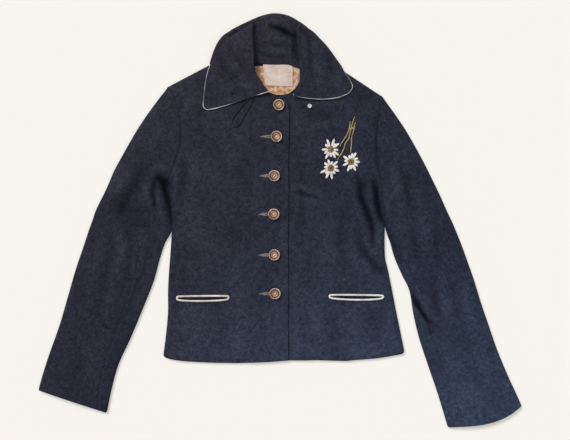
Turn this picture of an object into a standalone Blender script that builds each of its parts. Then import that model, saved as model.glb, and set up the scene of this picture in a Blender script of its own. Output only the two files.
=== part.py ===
# A woman's short loden jacket laid flat on its back, closed, with its sleeves out at its sides.
# X runs across, Y from the hem up to the neck and Z up from the floor. Right and left are the wearer's,
# so the right front, which laps over, lies on the -X side. Sizes are in millimetres until MM is used.
import math
from collections import namedtuple

import bmesh
import bpy
from mathutils import Vector

MM = 0.001

CLOTH = 1.8
COLLAR_CLOTH = 2.8
SEAM_GAP = 0.3
BACK_TOP = CLOTH
BACK_MID = CLOTH / 2
SEAM_MID = BACK_TOP + SEAM_GAP + CLOTH / 2
LOFT_MID = 5.4
LAP_MID = SEAM_MID + CLOTH + SEAM_GAP
SKIN = CLOTH / 2

# The lap: the left front lies under the right one between these two lines.
LAP_START = -46
LAP_END = 20
LAP_SLOPE = 18

EDGE_FALL = 9
HEM_FALL = 14
ROLL_REACH = 3.6
ROLL_ANGLES = (-62, -22, 22, 62)
HIND_SHARE = 0.12
SLEEVE_SEAM_CUT = 0.25

BUTTON_RADIUS = 10.25
BUTTON_HEIGHT = 4.6
BUTTON_HOLE = 0.95
BUTTON_HOLE_OFFSET = 2.3
BUTTON_STEPS = 20

# Each section of a sleeve, from the shoulder to the cuff: its point on the outer fold and its point on
# the armhole seam or, below the underarm, on the inner fold.
Section = namedtuple("Section", "outer_x outer_y inner_x inner_y")
SLEEVE_RIGHT = (
    Section(-206, 236.6, -197.6, 234),
    Section(-216.5, 223.7, -189.5, 213.5),
    Section(-229, 207, -183.5, 190.5),
    Section(-242.7, 188, -181, 167),
    Section(-259.2, 163, -181.5, 141.5),
    Section(-275.2, 135.6, -187.5, 116),
    Section(-288.3, 112, -196.5, 90.5),
    Section(-300, 90.5, -204.5, 67),
    Section(-316, 54, -202, 30.5),
    Section(-333.5, 18.5, -199.5, -0.5),
    Section(-340, -0.5, -198.5, -20.5),
    Section(-347.3, -20.5, -209.5, -42.5),
    Section(-357.5, -51.5, -219.2, -71.5),
    Section(-371, -91.5, -230.2, -111.5),
    Section(-385.2, -140.5, -247.6, -156),
    Section(-400, -191.5, -272.2, -215),
    Section(-419.3, -246, -294.7, -264.5),
    Section(-431.3, -283.5, -307.2, -310),
    Section(-438.8, -310.5, -315.5, -351.5),
)
SLEEVE_LEFT = (
    Section(190.6, 217.2, 184.9, 216.5),
    Section(203.9, 199.2, 183, 198),
    Section(216.4, 181.3, 179, 174.5),
    Section(228.8, 162.4, 176.5, 145),
    Section(243.2, 137.8, 177.5, 114),
    Section(256, 114.5, 181, 87),
    Section(267.9, 91.8, 185.5, 59.5),
    Section(280.5, 66, 189.5, 36),
    Section(291.5, 43, 191.5, 14),
    Section(303.5, 16, 193, -7.5),
    Section(313.5, -5, 196.3, -28),
    Section(320, -20.5, 201.5, -40.5),
    Section(331, -48, 210, -69.5),
    Section(342, -78.5, 223.5, -100.5),
    Section(352.8, -109.5, 237, -129.5),
    Section(365.7, -151.5, 244.5, -173.5),
    Section(380, -193.5, 254.8, -216),
    Section(395.9, -239, 271.2, -266),
    Section(414.9, -284.5, 286.8, -311.5),
    Section(427.8, -312.5, 297.6, -346.5),
    Section(440.3, -340.3, 307, -378.5),
)
RIGHT_UNDERARM = 7
LEFT_UNDERARM = 8
RIGHT_CUFF_BOW = 0.5
LEFT_CUFF_BOW = 13
CUFF_BOW_OUTER = 1.35  # a cuff bows more near its outer fold
CUFF_BOW_FALL = 0.7

# Each row of a front, from the shoulder and neck to the hem: its point on the armhole or side seam and
# its point on the front edge.
Row = namedtuple("Row", "side_x side_y edge_x edge_y")
FRONT_RIGHT = (
    Row(-201.5, 243, 17, 223.5),
    Row(-195, 228, 17.5, 213.5),
    Row(-189.5, 213.5, 18, 199.5),
    Row(-183.5, 190.5, 17.5, 178),
    Row(-181, 167, 17, 155),
    Row(-181.5, 141.5, 16.5, 130.5),
    Row(-187.5, 116, 16, 106),
    Row(-196.5, 90.5, 16, 80.5),
    Row(-204.5, 67, 16.5, 56),
    Row(-201, 39.5, 16.5, 28.5),
    Row(-197.5, 8.5, 16, -0.5),
    Row(-197, -20.5, 15.5, -29.5),
    Row(-198.5, -51.5, 15.5, -58.5),
    Row(-201.5, -91.5, 15.5, -97),
    Row(-203.5, -128, 15.5, -131.5),
    Row(-203.5, -166, 15.5, -171.5),
    Row(-206.7, -204.5, 15.5, -210),
    Row(-212, -246.5, 16, -256.5),
)
FRONT_LEFT = (
    Row(184.7, 225.5, -33, 220.5),
    Row(185, 211.5, -33.5, 209),
    Row(183, 198, -33.5, 194.5),
    Row(179, 174.5, -33.5, 169),
    Row(176.5, 145, -34, 139.5),
    Row(177.5, 114, -34, 108.5),
    Row(181, 87, -34, 79.5),
    Row(185.5, 59.5, -34, 54),
    Row(189.5, 36, -34, 28.5),
    Row(191.5, 14, -34, 7),
    Row(191.5, -11.5, -34, -18.5),
    Row(191, -37, -34, -44),
    Row(192, -69.5, -34, -75),
    Row(197, -91.5, -34, -102.5),
    Row(204.5, -128, -34, -137),
    Row(211.5, -164.5, -34, -173.5),
    Row(219, -200.5, -34, -211.5),
    Row(226.8, -239, -34, -256.5),
)
RIGHT_SIDE_START = 8
LEFT_SIDE_START = 9
RIGHT_SHARES = (0, 0.02, 0.06, 0.14, 0.26, 0.38, 0.52, 0.62, 0.72, 0.82, 0.9, 0.96, 1)
LEFT_SHARES = (0, 0.02, 0.06, 0.14, 0.26, 0.38, 0.52, 0.66, 0.76, 0.8, 0.85, 0.9, 1)
NECK_SHARE = 0.52

# Where the shoulder seams meet the neck, and the point that bends each front neckline.
RIGHT_NECK = (-76, 309)
RIGHT_NECK_BEND = (-68.5, 225)
LEFT_NECK = (62.5, 306.5)
LEFT_NECK_BEND = (69.5, 221.5)
BACK_NECK = ((-48.5, 289), (-28, 284), (-7, 282.5), (15, 284), (35, 289))

RIGHT_HEM = (
    (-212, -246.5),
    (-210.8, -249.3),
    (-207.9, -251.3),
    (-200, -253.9),
    (-193.4, -255.4),
    (-178.8, -257.4),
    (-164.3, -258.6),
    (-149.7, -259.4),
    (-120.6, -260.7),
    (-77, -261.3),
    (-48, -260.5),
    (-18.7, -259.3),
    (16, -256.5),
)
LEFT_HEM = (
    (-34, -256.5),
    (48, -256.5),
    (69, -256),
    (97.8, -256.9),
    (120, -257.6),
    (141.5, -255.5),
    (170.6, -253.4),
    (185.2, -251.5),
    (199.7, -249.1),
    (214.3, -246.6),
    (222.5, -244.8),
    (225.6, -242.7),
    (226.8, -239),
)

# The main folds of the upper layer: a soft ridge between two points.
Fold = namedtuple("Fold", "start_x start_y end_x end_y half_width height")
FOLDS = (
    Fold(-228, 70, -214, -12, 9, 3.2),
    Fold(-206, 62, -201, -18, 7, 2.6),
    Fold(-250, 40, -238, -30, 12, 1.4),
    Fold(-306, 22, -284, 4, 8, 1.6),
    Fold(-322, -60, -352, -190, 16, 1.2),
    Fold(142, 96, 158, 6, 9, 2.6),
    Fold(170, 74, 190, -14, 9, 3.6),
    Fold(150, 4, 176, -92, 12, 1.2),
    Fold(206, 52, 204, -24, 8, 3),
    Fold(246, -136, 276, -196, 9, 3.4),
    Fold(300, -112, 312, -262, 15, 1.2),
    Fold(30, 54, 58, 46, 8, 0.8),
)

# Each row of a collar leaf, from its front end to the back: its outer edge, its roll and the roll's height.
Leaf = namedtuple("Leaf", "edge_x edge_y roll_x roll_y roll_z")
LEAF_RIGHT = (
    Leaf(-139, 199.5, -20.5, 233.5, 13.5),
    Leaf(-139, 214, -28, 241.5, 14.5),
    Leaf(-137.5, 232.5, -34.5, 252.5, 15.5),
    Leaf(-135, 250.5, -42.5, 263.5, 16.5),
    Leaf(-131.5, 267, -46, 275.5, 17.2),
    Leaf(-127, 280.5, -47, 288, 18),
    Leaf(-124, 293.3, -46.5, 301.5, 18.5),
    Leaf(-118.8, 308.7, -47.5, 316, 19),
    Leaf(-111.2, 323.8, -48.5, 333, 19.5),
    Leaf(-100.5, 337, -48.5, 353, 20),
)
LEAF_LEFT = (
    Leaf(132, 234, 24.5, 225, 13.5),
    Leaf(132, 242.5, 30.5, 234.5, 14.5),
    Leaf(126, 256, 35.5, 245, 15.5),
    Leaf(118.6, 266.6, 37, 258, 16.2),
    Leaf(113.1, 276.5, 37, 272.5, 16.8),
    Leaf(107.1, 285.4, 36, 287, 17.4),
    Leaf(99.5, 296.3, 34.5, 301.5, 18),
    Leaf(91.4, 307.7, 33, 317, 18.5),
    Leaf(81.3, 320.1, 32, 332.5, 19),
    Leaf(70.2, 331.4, 32, 344.6, 19.5),
    Leaf(62.6, 340.2, 34.4, 353, 19.5),
)
RIGHT_LIP_START = 6
LEFT_LIP_START = 5
LEAF_REST_MID = LOFT_MID + SKIN + SEAM_GAP + COLLAR_CLOTH / 2
LEAF_SHARES = (0.1, 0.28, 0.48, 0.68, 0.86)
RIGHT_LEAF_BOW = 5
LEFT_LEAF_BOW = 10
RIGHT_LEAF_SAG = (1.1, 0)
LEFT_LEAF_SAG = (1.35, 0.65)
LEAF_RETURN = 7
LEAF_RETURN_MID = 8.6
LEAF_RETURN_RISE = 1.25
FOLDED_ROW = 5

# Each section across the back of the collar: its neck seam, the top of its roll and the roll's height.
Stand = namedtuple("Stand", "seam_x seam_y roll_x roll_y roll_z")
COLLAR_BACK = (
    Stand(-62, 299, -90, 345, 6.2),
    Stand(-55, 292, -74, 353, 8),
    Stand(-45, 287, -56, 361.8, 9.5),
    Stand(-28.5, 284.5, -33, 371.3, 11),
    Stand(-7, 283.5, -8.5, 375.8, 12),
    Stand(15, 284.5, 15.8, 371.4, 11.5),
    Stand(31.5, 287, 36.5, 360.2, 9.8),
    Stand(42, 291.5, 47.4, 352.7, 7.4),
    Stand(50, 299, 54.8, 346, 6),
)
STAND_START_MID = 3.6
FALL_MID = COLLAR_CLOTH / 2 + 0.2
FALL_DEPTH = 46
STAND_SHARES = (0, 0.22, 0.45, 0.68, 0.86)

PIPING_RADIUS = 1.25
POCKET_PIPING_RADIUS = 1.6
POCKET_STEPS = 28
Pocket = namedtuple("Pocket", "centre_x centre_y half_length rise sag tilt")
POCKET_RIGHT = Pocket(-140, -141, 47, 2.2, 7, 0.01)
POCKET_LEFT = Pocket(139.5, -139.5, 49, 2.6, 6.2, -0.01)

BUTTONS = ((-2, 209), (-6, 151.5), (-10, 80), (-11, 10), (-10, -64), (-8.5, -134.5))
NECK_BUTTON = (54.5, 207)
NECK_BUTTON_RADIUS = 4
LOOP_PATH = (
    (-48.5, 220),
    (-51.5, 212.5),
    (-56.5, 203),
    (-62.5, 193),
    (-68, 183.5),
    (-72.5, 175.5),
    (-77.5, 170.3),
    (-84, 171),
    (-87.8, 178),
    (-84.5, 187),
    (-78, 195.5),
    (-71.5, 203.5),
    (-65, 210.5),
    (-59.5, 216.5),
)
LOOP_RADIUS = 1.25

Flower = namedtuple("Flower", "centre_x centre_y radius turn")
FLOWERS = (Flower(93, 127.5, 17.5, 0.1), Flower(93, 93.5, 19, 0.32), Flower(130, 105.5, 16.5, 0.2))
PETALS = 12
Stem = namedtuple("Stem", "points half_width height lift")
STEMS = (
    Stem(((135.5, 185.5), (131, 165), (126, 157), (118, 146), (111, 137)), 0.75, 0.8, 0.3),
    Stem(((128.5, 177.5), (131.5, 166), (128.5, 155.5), (120.5, 139), (112.5, 123), (107, 112)), 0.8, 1, 0.36),
    Stem(((138, 175), (131.5, 164), (134, 155.5), (130.5, 143.5), (130, 124)), 0.7, 1.2, 0.42),
    Stem(((126, 163.5), (131, 165), (136.5, 166.5)), 1.3, 1.4, 0.48),
)


def clear_scene():
    for old in list(bpy.data.objects):
        bpy.data.objects.remove(old)


def mix(low, high, share):
    return low + (high - low) * share


def ease(share):
    share = min(1, max(0, share))
    return share * share * (3 - 2 * share)


def to_segment(x, y, start, end):
    """The distance from a point to a segment, and how far along it the nearest point lies."""
    run_x = end[0] - start[0]
    run_y = end[1] - start[1]
    along = ((x - start[0]) * run_x + (y - start[1]) * run_y) / (run_x * run_x + run_y * run_y)
    held = min(1, max(0, along))
    return math.hypot(x - start[0] - run_x * held, y - start[1] - run_y * held), held


def to_path(x, y, path):
    return min(to_segment(x, y, *ends)[0] for ends in zip(path, path[1:]))


def along_path(path, share):
    """The point that lies this share of the way along a path."""
    lengths = [math.dist(*ends) for ends in zip(path, path[1:])]
    left = share * sum(lengths)
    for (start, end), length in zip(zip(path, path[1:]), lengths):
        if left <= length or end is path[-1]:
            return tuple(mix(a, b, min(1, left / length)) for a, b in zip(start, end))
        left -= length


def relief(x, y):
    """The height that the folds add to the upper layer."""
    height = 0
    for fold in FOLDS:
        away, held = to_segment(x, y, (fold.start_x, fold.start_y), (fold.end_x, fold.end_y))
        height += fold.height * math.exp(-((away / fold.half_width) ** 2)) * math.sin(math.pi * (0.12 + 0.76 * held))
    return height


def rise(distance, reach):
    """A quarter round: 0 at a seam and 1 once the cloth is this far from it."""
    share = 1 - min(1, distance / reach)
    return math.sqrt(1 - share * share)


SHOULDER_RIGHT = ((FRONT_RIGHT[0].side_x, FRONT_RIGHT[0].side_y), RIGHT_NECK)
SHOULDER_LEFT = ((FRONT_LEFT[0].side_x, FRONT_LEFT[0].side_y), LEFT_NECK)
SIDE_RIGHT = [(row.side_x, row.side_y) for row in FRONT_RIGHT[RIGHT_SIDE_START:]]
SIDE_LEFT = [(row.side_x, row.side_y) for row in FRONT_LEFT[LEFT_SIDE_START:]]


def right_front_mid(x, y):
    floor = mix(SEAM_MID, LAP_MID, ease((x - LAP_START + LAP_SLOPE) / LAP_SLOPE))
    seams = min(to_path(x, y, SIDE_RIGHT), to_path(x, y, SHOULDER_RIGHT))
    share = min(rise(seams, EDGE_FALL), rise(to_path(x, y, RIGHT_HEM), HEM_FALL))
    return mix(floor, LOFT_MID, share) + relief(x, y) * share


def left_front_mid(x, y):
    if x < LAP_END:
        return SEAM_MID
    seams = min(to_path(x, y, SIDE_LEFT), to_path(x, y, SHOULDER_LEFT))
    share = min(rise(seams, EDGE_FALL), rise(to_path(x, y, LEFT_HEM), HEM_FALL))
    share *= ease((x - LAP_END) / LAP_SLOPE)
    return mix(SEAM_MID, LOFT_MID, share) + relief(x, y) * share


def make_material(name, colour, roughness, metallic=0):
    material = bpy.data.materials.new(name)
    material.use_nodes = True
    shader = material.node_tree.nodes["Principled BSDF"]
    shader.inputs["Base Color"].default_value = (*colour, 1)
    shader.inputs["Roughness"].default_value = roughness
    shader.inputs["Metallic"].default_value = metallic
    return material


def add_mesh(name, points, faces, material, smooth=False):
    """Adds one closed body from points in millimetres."""
    mesh = bpy.data.meshes.new(name)
    mesh.from_pydata([tuple(value * MM for value in point) for point in points], [], faces)
    shape = bmesh.new()
    shape.from_mesh(mesh)
    bmesh.ops.recalc_face_normals(shape, faces=shape.faces)
    shape.to_mesh(mesh)
    shape.free()
    mesh.polygons.foreach_set("use_smooth", [smooth] * len(mesh.polygons))
    mesh.materials.append(material)
    added = bpy.data.objects.new(name, mesh)
    bpy.context.scene.collection.objects.link(added)
    return added


def add_sheet(name, grid, wall, material, kept=None, upright=False):
    """Adds a cloth panel: a grid of points on the middle of its wall, with the wall built to both sides.
    kept tells which cells of the grid the panel fills; upright builds the wall straight up and down."""
    cells = []
    for r in range(len(grid) - 1):
        for c in range(len(grid[0]) - 1):
            if kept is None or kept(r, c):
                cells.append(((r, c), (r, c + 1), (r + 1, c + 1), (r + 1, c)))
    normals = {}
    for cell in cells:
        corners = [Vector(grid[r][c]) for r, c in cell]
        across = (corners[2] - corners[0]).cross(corners[3] - corners[1])
        for spot in cell:
            normals[spot] = normals.get(spot, Vector()) + across
    spots = sorted(normals)
    index = {spot: i for i, spot in enumerate(spots)}
    count = len(spots)
    upper = []
    lower = []
    for r, c in spots:
        away = Vector((0, 0, 1)) if upright else normals[r, c].normalized()
        upper.append(Vector(grid[r][c]) + away * wall / 2)
        lower.append(Vector(grid[r][c]) - away * wall / 2)
    faces = []
    edges = {}
    for cell in cells:
        ring = [index[spot] for spot in cell]
        faces.append(ring)
        faces.append([i + count for i in reversed(ring)])
        for start, end in zip(ring, ring[1:] + ring[:1]):
            edges[start, end] = True
    for start, end in edges:
        if (end, start) not in edges:
            faces.append([end, start, start + count, end + count])
    return add_mesh(name, upper + lower, faces, material, smooth=True)


def add_plate(name, outline, low, high, material):
    """Adds a flat panel from its outline and the heights of its two faces."""
    count = len(outline)
    points = [(x, y, low) for x, y in outline] + [(x, y, high) for x, y in outline]
    faces = [list(range(count)), list(range(count, 2 * count))]
    for i in range(count):
        after = (i + 1) % count
        faces.append([i, after, after + count, i + count])
    return add_mesh(name, points, faces, material)


def add_tube(name, path, radius, material, sides=6, closed=False):
    """Adds a round strip along a path that stays level enough for one up direction."""
    points = []
    for i, point in enumerate(path):
        before = path[i - 1] if closed or i else path[0]
        after = path[(i + 1) % len(path)] if closed or i + 1 < len(path) else path[-1]
        run = (Vector(after) - Vector(before)).normalized()
        side = run.cross(Vector((0, 0, 1))).normalized()
        up = side.cross(run)
        for step in range(sides):
            turn = 2 * math.pi * (step + 0.5) / sides
            points.append(Vector(point) + radius * (side * math.cos(turn) + up * math.sin(turn)))
    faces = []
    rings = len(path)
    for ring in range(rings if closed else rings - 1):
        after = (ring + 1) % rings
        for step in range(sides):
            turned = (step + 1) % sides
            here = ring * sides
            there = after * sides
            faces.append([here + step, here + turned, there + turned, there + step])
    if not closed:
        faces.append(list(range(sides)))
        faces.append([(rings - 1) * sides + step for step in range(sides)])
    return add_mesh(name, points, faces, material, smooth=True)


def add_turned(name, centre, profile, steps, material, tilt=0):
    """Adds a turned piece from (radius, height) points, the first and the last of them on its axis."""
    points = []
    rings = []
    widest = max(radius for radius, _ in profile)
    for radius, height in profile:
        ring = []
        for step in range(1 if radius == 0 else steps):
            turn = 2 * math.pi * step / steps
            x = radius * math.cos(turn)
            y = radius * math.sin(turn)
            ring.append(len(points))
            points.append((centre[0] + x, centre[1] + y, centre[2] + height + (x + widest) * tilt))
        rings.append(ring)
    faces = []
    for inner, outer in zip(rings, rings[1:]):
        for step in range(steps):
            after = (step + 1) % steps
            corners = [inner[step % len(inner)], inner[after % len(inner)]]
            corners += [outer[after % len(outer)], outer[step % len(outer)]]
            faces.append(list(dict.fromkeys(corners)))
    return add_mesh(name, points, faces, material, smooth=True)


def cut(target, cutter):
    cutter.hide_render = True
    cutter.display_type = "WIRE"
    boolean = target.modifiers.new("cut", "BOOLEAN")
    boolean.operation = "DIFFERENCE"
    boolean.solver = "EXACT"
    boolean.object = cutter


def join(target, other):
    other.hide_render = True
    other.display_type = "WIRE"
    boolean = target.modifiers.new("join", "BOOLEAN")
    boolean.operation = "UNION"
    boolean.solver = "EXACT"
    boolean.object = other


def bend(start, control, end, share):
    """A point on the curve that leaves start towards control and comes from control to end."""
    return tuple(
        (1 - share) ** 2 * a + 2 * share * (1 - share) * b + share * share * c
        for a, b, c in zip(start, control, end)
    )


def level_at(path, x):
    """The height of an outline at x, where its points run in the order of x."""
    for start, end in zip(path, path[1:]):
        if x <= end[0] or end is path[-1]:
            return mix(start[1], end[1], (x - start[0]) / (end[0] - start[0]))


def front_grid(rows, shares, neck, neck_bend, hem, mid, inset):
    """Rows of points from the seams of one front: shoulder and neckline above, hem below."""
    sides = [(row.side_x + inset, row.side_y) for row in rows]
    edges = [(row.edge_x, row.edge_y) for row in rows]
    heads = []
    feet = []
    for share in shares:
        if share <= NECK_SHARE:
            heads.append(tuple(mix(a, b, share / NECK_SHARE) for a, b in zip(sides[0], neck)))
        else:
            heads.append(bend(neck, neck_bend, edges[0], (share - NECK_SHARE) / (1 - NECK_SHARE)))
        x = mix(sides[-1][0], edges[-1][0], share)
        feet.append((x, level_at(hem, x)))
    grid = []
    fall = edges[0][1] - edges[-1][1]
    for side, edge in zip(sides, edges):
        down = (edges[0][1] - edge[1]) / fall
        line = []
        for share, head, foot in zip(shares, heads, feet):
            x, y = (
                mix(side[i], edge[i], share)
                + mix(head[i], foot[i], down)
                - mix(mix(sides[0][i], edges[0][i], share), mix(sides[-1][i], edges[-1][i], share), down)
                for i in (0, 1)
            )
            line.append((x, y, mid(x, y)))
        grid.append(line)
    return grid


def back_outline():
    """The back panel: hem, left side and armhole, neckline, then the right side back down to the hem."""
    outline = [(x, y + 1) for x, y in LEFT_HEM[1:-1]]
    outline += [(row.side_x, row.side_y) for row in reversed(FRONT_LEFT)]
    outline.append(LEFT_NECK)
    outline += reversed(BACK_NECK)
    outline.append(RIGHT_NECK)
    outline += [(row.side_x, row.side_y) for row in FRONT_RIGHT]
    outline += [(x, y + 1) for x, y in RIGHT_HEM[1:-1]]
    return outline


def sleeve_pieces(sections, underarm, bow, seam_shares, outward):
    """The grids of a two-piece sleeve. Its upper piece runs from the hind seam beneath, round the outer
    fold and over to the forearm seam; the under piece goes on round the inner fold and back beneath."""
    upper = []
    under = []
    last = len(sections) - 1
    for number, section in enumerate(sections):
        outer = Vector((section.outer_x, section.outer_y))
        inner = Vector((section.inner_x + outward, section.inner_y))
        width = (inner - outer).length
        run = (inner - outer) / width
        hang = Vector((run.y, -run.x))
        if hang.y > 0:
            hang = -hang
        below = bow * ease((number - last + 3) / 3)
        rolled = number >= underarm

        def spot(away, z):
            share = away / width
            return outer + run * away + hang * below * 4 * share * (1 - share) * (CUFF_BOW_OUTER - CUFF_BOW_FALL * share), z

        def top(away):
            place, _ = spot(away, 0)
            return LOFT_MID + relief(place.x, place.y)

        def placed(away, z):
            place, z = spot(away, z)
            return (place.x, place.y, z)

        def roll(from_outer):
            near = ROLL_REACH if from_outer else width - ROLL_REACH
            half = (top(near) - BACK_MID) / 2
            ring = []
            for angle in ROLL_ANGLES:
                turn = math.radians(angle)
                away = SKIN + (ROLL_REACH - SKIN) * (1 - math.cos(turn))
                ring.append(placed(away if from_outer else width - away, BACK_MID + half * (1 + math.sin(turn))))
            return ring

        hind = max(HIND_SHARE * width, ROLL_REACH + 1)
        if rolled:
            seam = seam_shares[min(number - underarm, len(seam_shares) - 1)] * width
            seam = min(seam, width - ROLL_REACH)
        else:
            seam = width
        stop = seam - (SLEEVE_SEAM_CUT if rolled else 0)
        line = [placed(hind - SLEEVE_SEAM_CUT, BACK_MID), placed(ROLL_REACH, BACK_MID)]
        line += roll(True)
        for share in (0, 0.1, 0.24, 0.38, 0.52, 0.66, 0.82, 1):
            away = mix(ROLL_REACH, stop, share)
            line.append(placed(away, top(away)))
        upper.append(line)
        strip_start = min(seam + SLEEVE_SEAM_CUT, width - ROLL_REACH - 0.05)
        turned = width - ROLL_REACH
        line = []
        for share in (0, 0.5, 1):
            away = mix(strip_start, turned, share)
            line.append(placed(away, top(away)))
        line += reversed(roll(False))
        for share in (0, 0.2, 0.45, 0.7, 1):
            away = mix(turned if rolled else width, hind + SLEEVE_SEAM_CUT, share)
            line.append(placed(away, BACK_MID))
        under.append(line)
    return upper, under


def leaf_grid(leaves, lip_start, bow, sag):
    """The grid of a collar leaf: an optional lip down to the floor, the leaf, its roll and a short return."""
    grid = []
    for number, leaf in enumerate(leaves):
        edge = Vector((leaf.edge_x, leaf.edge_y))
        roll = Vector((leaf.roll_x, leaf.roll_y))
        run = (roll - edge).normalized()
        drop = bow * (1 - ease(number / 2))
        folded = max(0, number - FOLDED_ROW)
        rest = LEAF_REST_MID
        line = []
        for out, z in ((1.6, 1.6), (0.4, 3.4), (0, 5.6)):
            spot = edge + run * (SKIN + out)
            line.append((spot.x, spot.y, z))
        spot = edge + run * SKIN if number >= lip_start else edge
        line.append((spot.x, spot.y, rest))
        for share in LEAF_SHARES:
            spot = edge.lerp(roll, share)
            spot.y -= drop * 4 * share * (1 - share) * mix(*sag, share)
            line.append((spot.x, spot.y, mix(rest, leaf.roll_z - 1.2, share ** 1.6)))
        back = LEAF_RETURN_MID + LEAF_RETURN_RISE * folded
        for out, z in ((2.6, leaf.roll_z - 0.2), (1.2, leaf.roll_z - 1), (1, leaf.roll_z - 3.2)):
            spot = roll - run * out
            line.append((spot.x, spot.y, z))
        spot = roll - run * LEAF_RETURN
        line.append((spot.x, spot.y, back))
        grid.append(line)
    return grid


def stand_grid():
    """The grid of the back of the collar: up from the neck seam, over the roll and down behind."""
    grid = []
    for stand in COLLAR_BACK:
        seam = Vector((stand.seam_x, stand.seam_y))
        roll = Vector((stand.roll_x, stand.roll_y))
        run = (roll - seam).normalized()
        end = roll - run * COLLAR_CLOTH / 2
        half = (stand.roll_z - FALL_MID) / 2
        line = []
        for share in STAND_SHARES:
            spot = seam.lerp(end - run * half, share / STAND_SHARES[-1])
            line.append((spot.x, spot.y, mix(STAND_START_MID, stand.roll_z, math.sin(share / STAND_SHARES[-1] * math.pi / 2))))
        for angle in (50, 5, -45):
            turn = math.radians(angle)
            spot = end - run * half * (1 - math.cos(turn))
            line.append((spot.x, spot.y, FALL_MID + half * (1 + math.sin(turn))))
        for away in (half + 1, (FALL_DEPTH + half) / 2, FALL_DEPTH):
            spot = end - run * away * min(1, (roll - seam).length / 94)
            line.append((spot.x, spot.y, FALL_MID))
        grid.append(line)
    return grid


def leaf_piping_path(grid, rows, outward_x):
    """The path of the piping: along the front end of the leaf from its roll, then up its outer edge."""
    path = []
    away = COLLAR_CLOTH / 2 + PIPING_RADIUS
    front = [Vector(point) for point in grid[0][3:-4]]
    for i in range(len(front) - 1, 0, -1):
        run = (front[i - 1] - front[min(i + 1, len(front) - 1)]).normalized()
        side = Vector((-run.y, run.x, 0)) if outward_x < 0 else Vector((run.y, -run.x, 0))
        path.append(front[i] + side.normalized() * (PIPING_RADIUS + SEAM_GAP))
    corner = front[0]
    path.append(corner + Vector((outward_x * 0.4, -1, 0)).normalized() * (PIPING_RADIUS + 2 * SEAM_GAP))
    path.append(corner + Vector((outward_x, -0.3, 0)).normalized() * (PIPING_RADIUS + 2 * SEAM_GAP))
    for number in range(1, rows):
        here = Vector(grid[number][3])
        path.append(here + Vector((outward_x, 0, 0)) * (PIPING_RADIUS + 1.6 * SEAM_GAP))
    rested = LOFT_MID + SKIN + SEAM_GAP + PIPING_RADIUS
    return [Vector((point.x, point.y, max(rested, min(point.z, LEAF_REST_MID + away)))) for point in path]


def pocket_line(pocket, inset, mid, lift):
    """A closed path round a pocket slit: nearly straight above, sagging below."""
    path = []
    for step in range(POCKET_STEPS):
        turn = 2 * math.pi * step / POCKET_STEPS
        x = (pocket.half_length - inset) * math.cos(turn)
        tall = pocket.rise if math.sin(turn) > 0 else pocket.sag
        shape = math.copysign(abs(math.sin(turn)) ** 0.85, math.sin(turn))
        y = (tall - inset) * shape + x * pocket.tilt
        spot_x = pocket.centre_x + x
        spot_y = pocket.centre_y + y
        path.append(Vector((spot_x, spot_y, mid(spot_x, spot_y) + lift)))
    return path


def add_flower(number, flower, material):
    """An embroidered edelweiss: pointed petals of two lengths round a raised eye."""
    spokes = 2 * PETALS
    shares = (0.36, 1)
    points = []
    for level in (SEAM_GAP, 1.1):
        for ring, share in enumerate(shares):
            for spoke in range(spokes):
                turn = 2 * math.pi * spoke / spokes + flower.turn
                long = 1 if spoke % 4 == 0 else 0.84
                reach = flower.radius * (long if spoke % 2 == 0 else 0.56)
                away = reach if ring else flower.radius * share
                x = flower.centre_x + away * math.cos(turn)
                y = flower.centre_y + away * math.sin(turn)
                tall = level + (0.9 if level > SEAM_GAP and not ring else 0)
                points.append((x, y, left_front_mid(x, y) + SKIN + tall))
    centres = []
    for tall in (SEAM_GAP, 2.6):
        centres.append(len(points))
        z = left_front_mid(flower.centre_x, flower.centre_y) + SKIN + tall
        points.append((flower.centre_x, flower.centre_y, z))
    faces = []
    for spoke in range(spokes):
        after = (spoke + 1) % spokes
        for level, centre in enumerate(centres):
            base = level * 2 * spokes
            faces.append([centre, base + spoke, base + after])
            faces.append([base + spoke, base + after, base + spokes + after, base + spokes + spoke])
        faces.append([spokes + spoke, spokes + after, 3 * spokes + after, 3 * spokes + spoke])
    return add_mesh("edelweiss_%d" % number, points, faces, material)


def add_stem(name, stem, material):
    """A flat couched strand over the left front."""
    rows = []
    path = [Vector(point) for point in stem.points]
    for i, point in enumerate(path):
        run = (path[min(i + 1, len(path) - 1)] - path[max(i - 1, 0)]).normalized()
        side = Vector((-run.y, run.x)) * stem.half_width
        line = []
        for spot in (point - side, point + side):
            z = left_front_mid(spot.x, spot.y) + SKIN + stem.lift + stem.height / 2
            line.append((spot.x, spot.y, z))
        rows.append(line)
    return add_sheet(name, rows, stem.height, material, upright=True)


clear_scene()

loden = make_material("loden", (0.03, 0.034, 0.048), 0.95)
loden_inside = make_material("loden_inside", (0.02, 0.022, 0.032), 0.95)
piping = make_material("piping", (0.72, 0.62, 0.5), 0.7)
brocade = make_material("brocade", (0.6, 0.38, 0.14), 0.6)
woven_label = make_material("woven_label", (0.75, 0.62, 0.56), 0.7)
horn = make_material("horn", (0.2, 0.1, 0.055), 0.35)
pale_button = make_material("pale_button", (0.62, 0.7, 0.62), 0.4)
white_thread = make_material("white_thread", (0.8, 0.78, 0.7), 0.8)
stem_thread = make_material("stem_thread", (0.25, 0.19, 0.05), 0.8)

add_plate("back", back_outline(), 0, BACK_TOP, loden)

seam_half = SEAM_GAP / 2
right_grid = front_grid(FRONT_RIGHT, RIGHT_SHARES, RIGHT_NECK, RIGHT_NECK_BEND, RIGHT_HEM, right_front_mid, seam_half)
front_right = add_sheet("front_right", right_grid, CLOTH, loden, upright=True)
left_grid = front_grid(FRONT_LEFT, LEFT_SHARES, LEFT_NECK, LEFT_NECK_BEND, LEFT_HEM, left_front_mid, -seam_half)
for line in left_grid:
    line.reverse()
front_left = add_sheet("front_left", left_grid, CLOTH, loden, upright=True)

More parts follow.
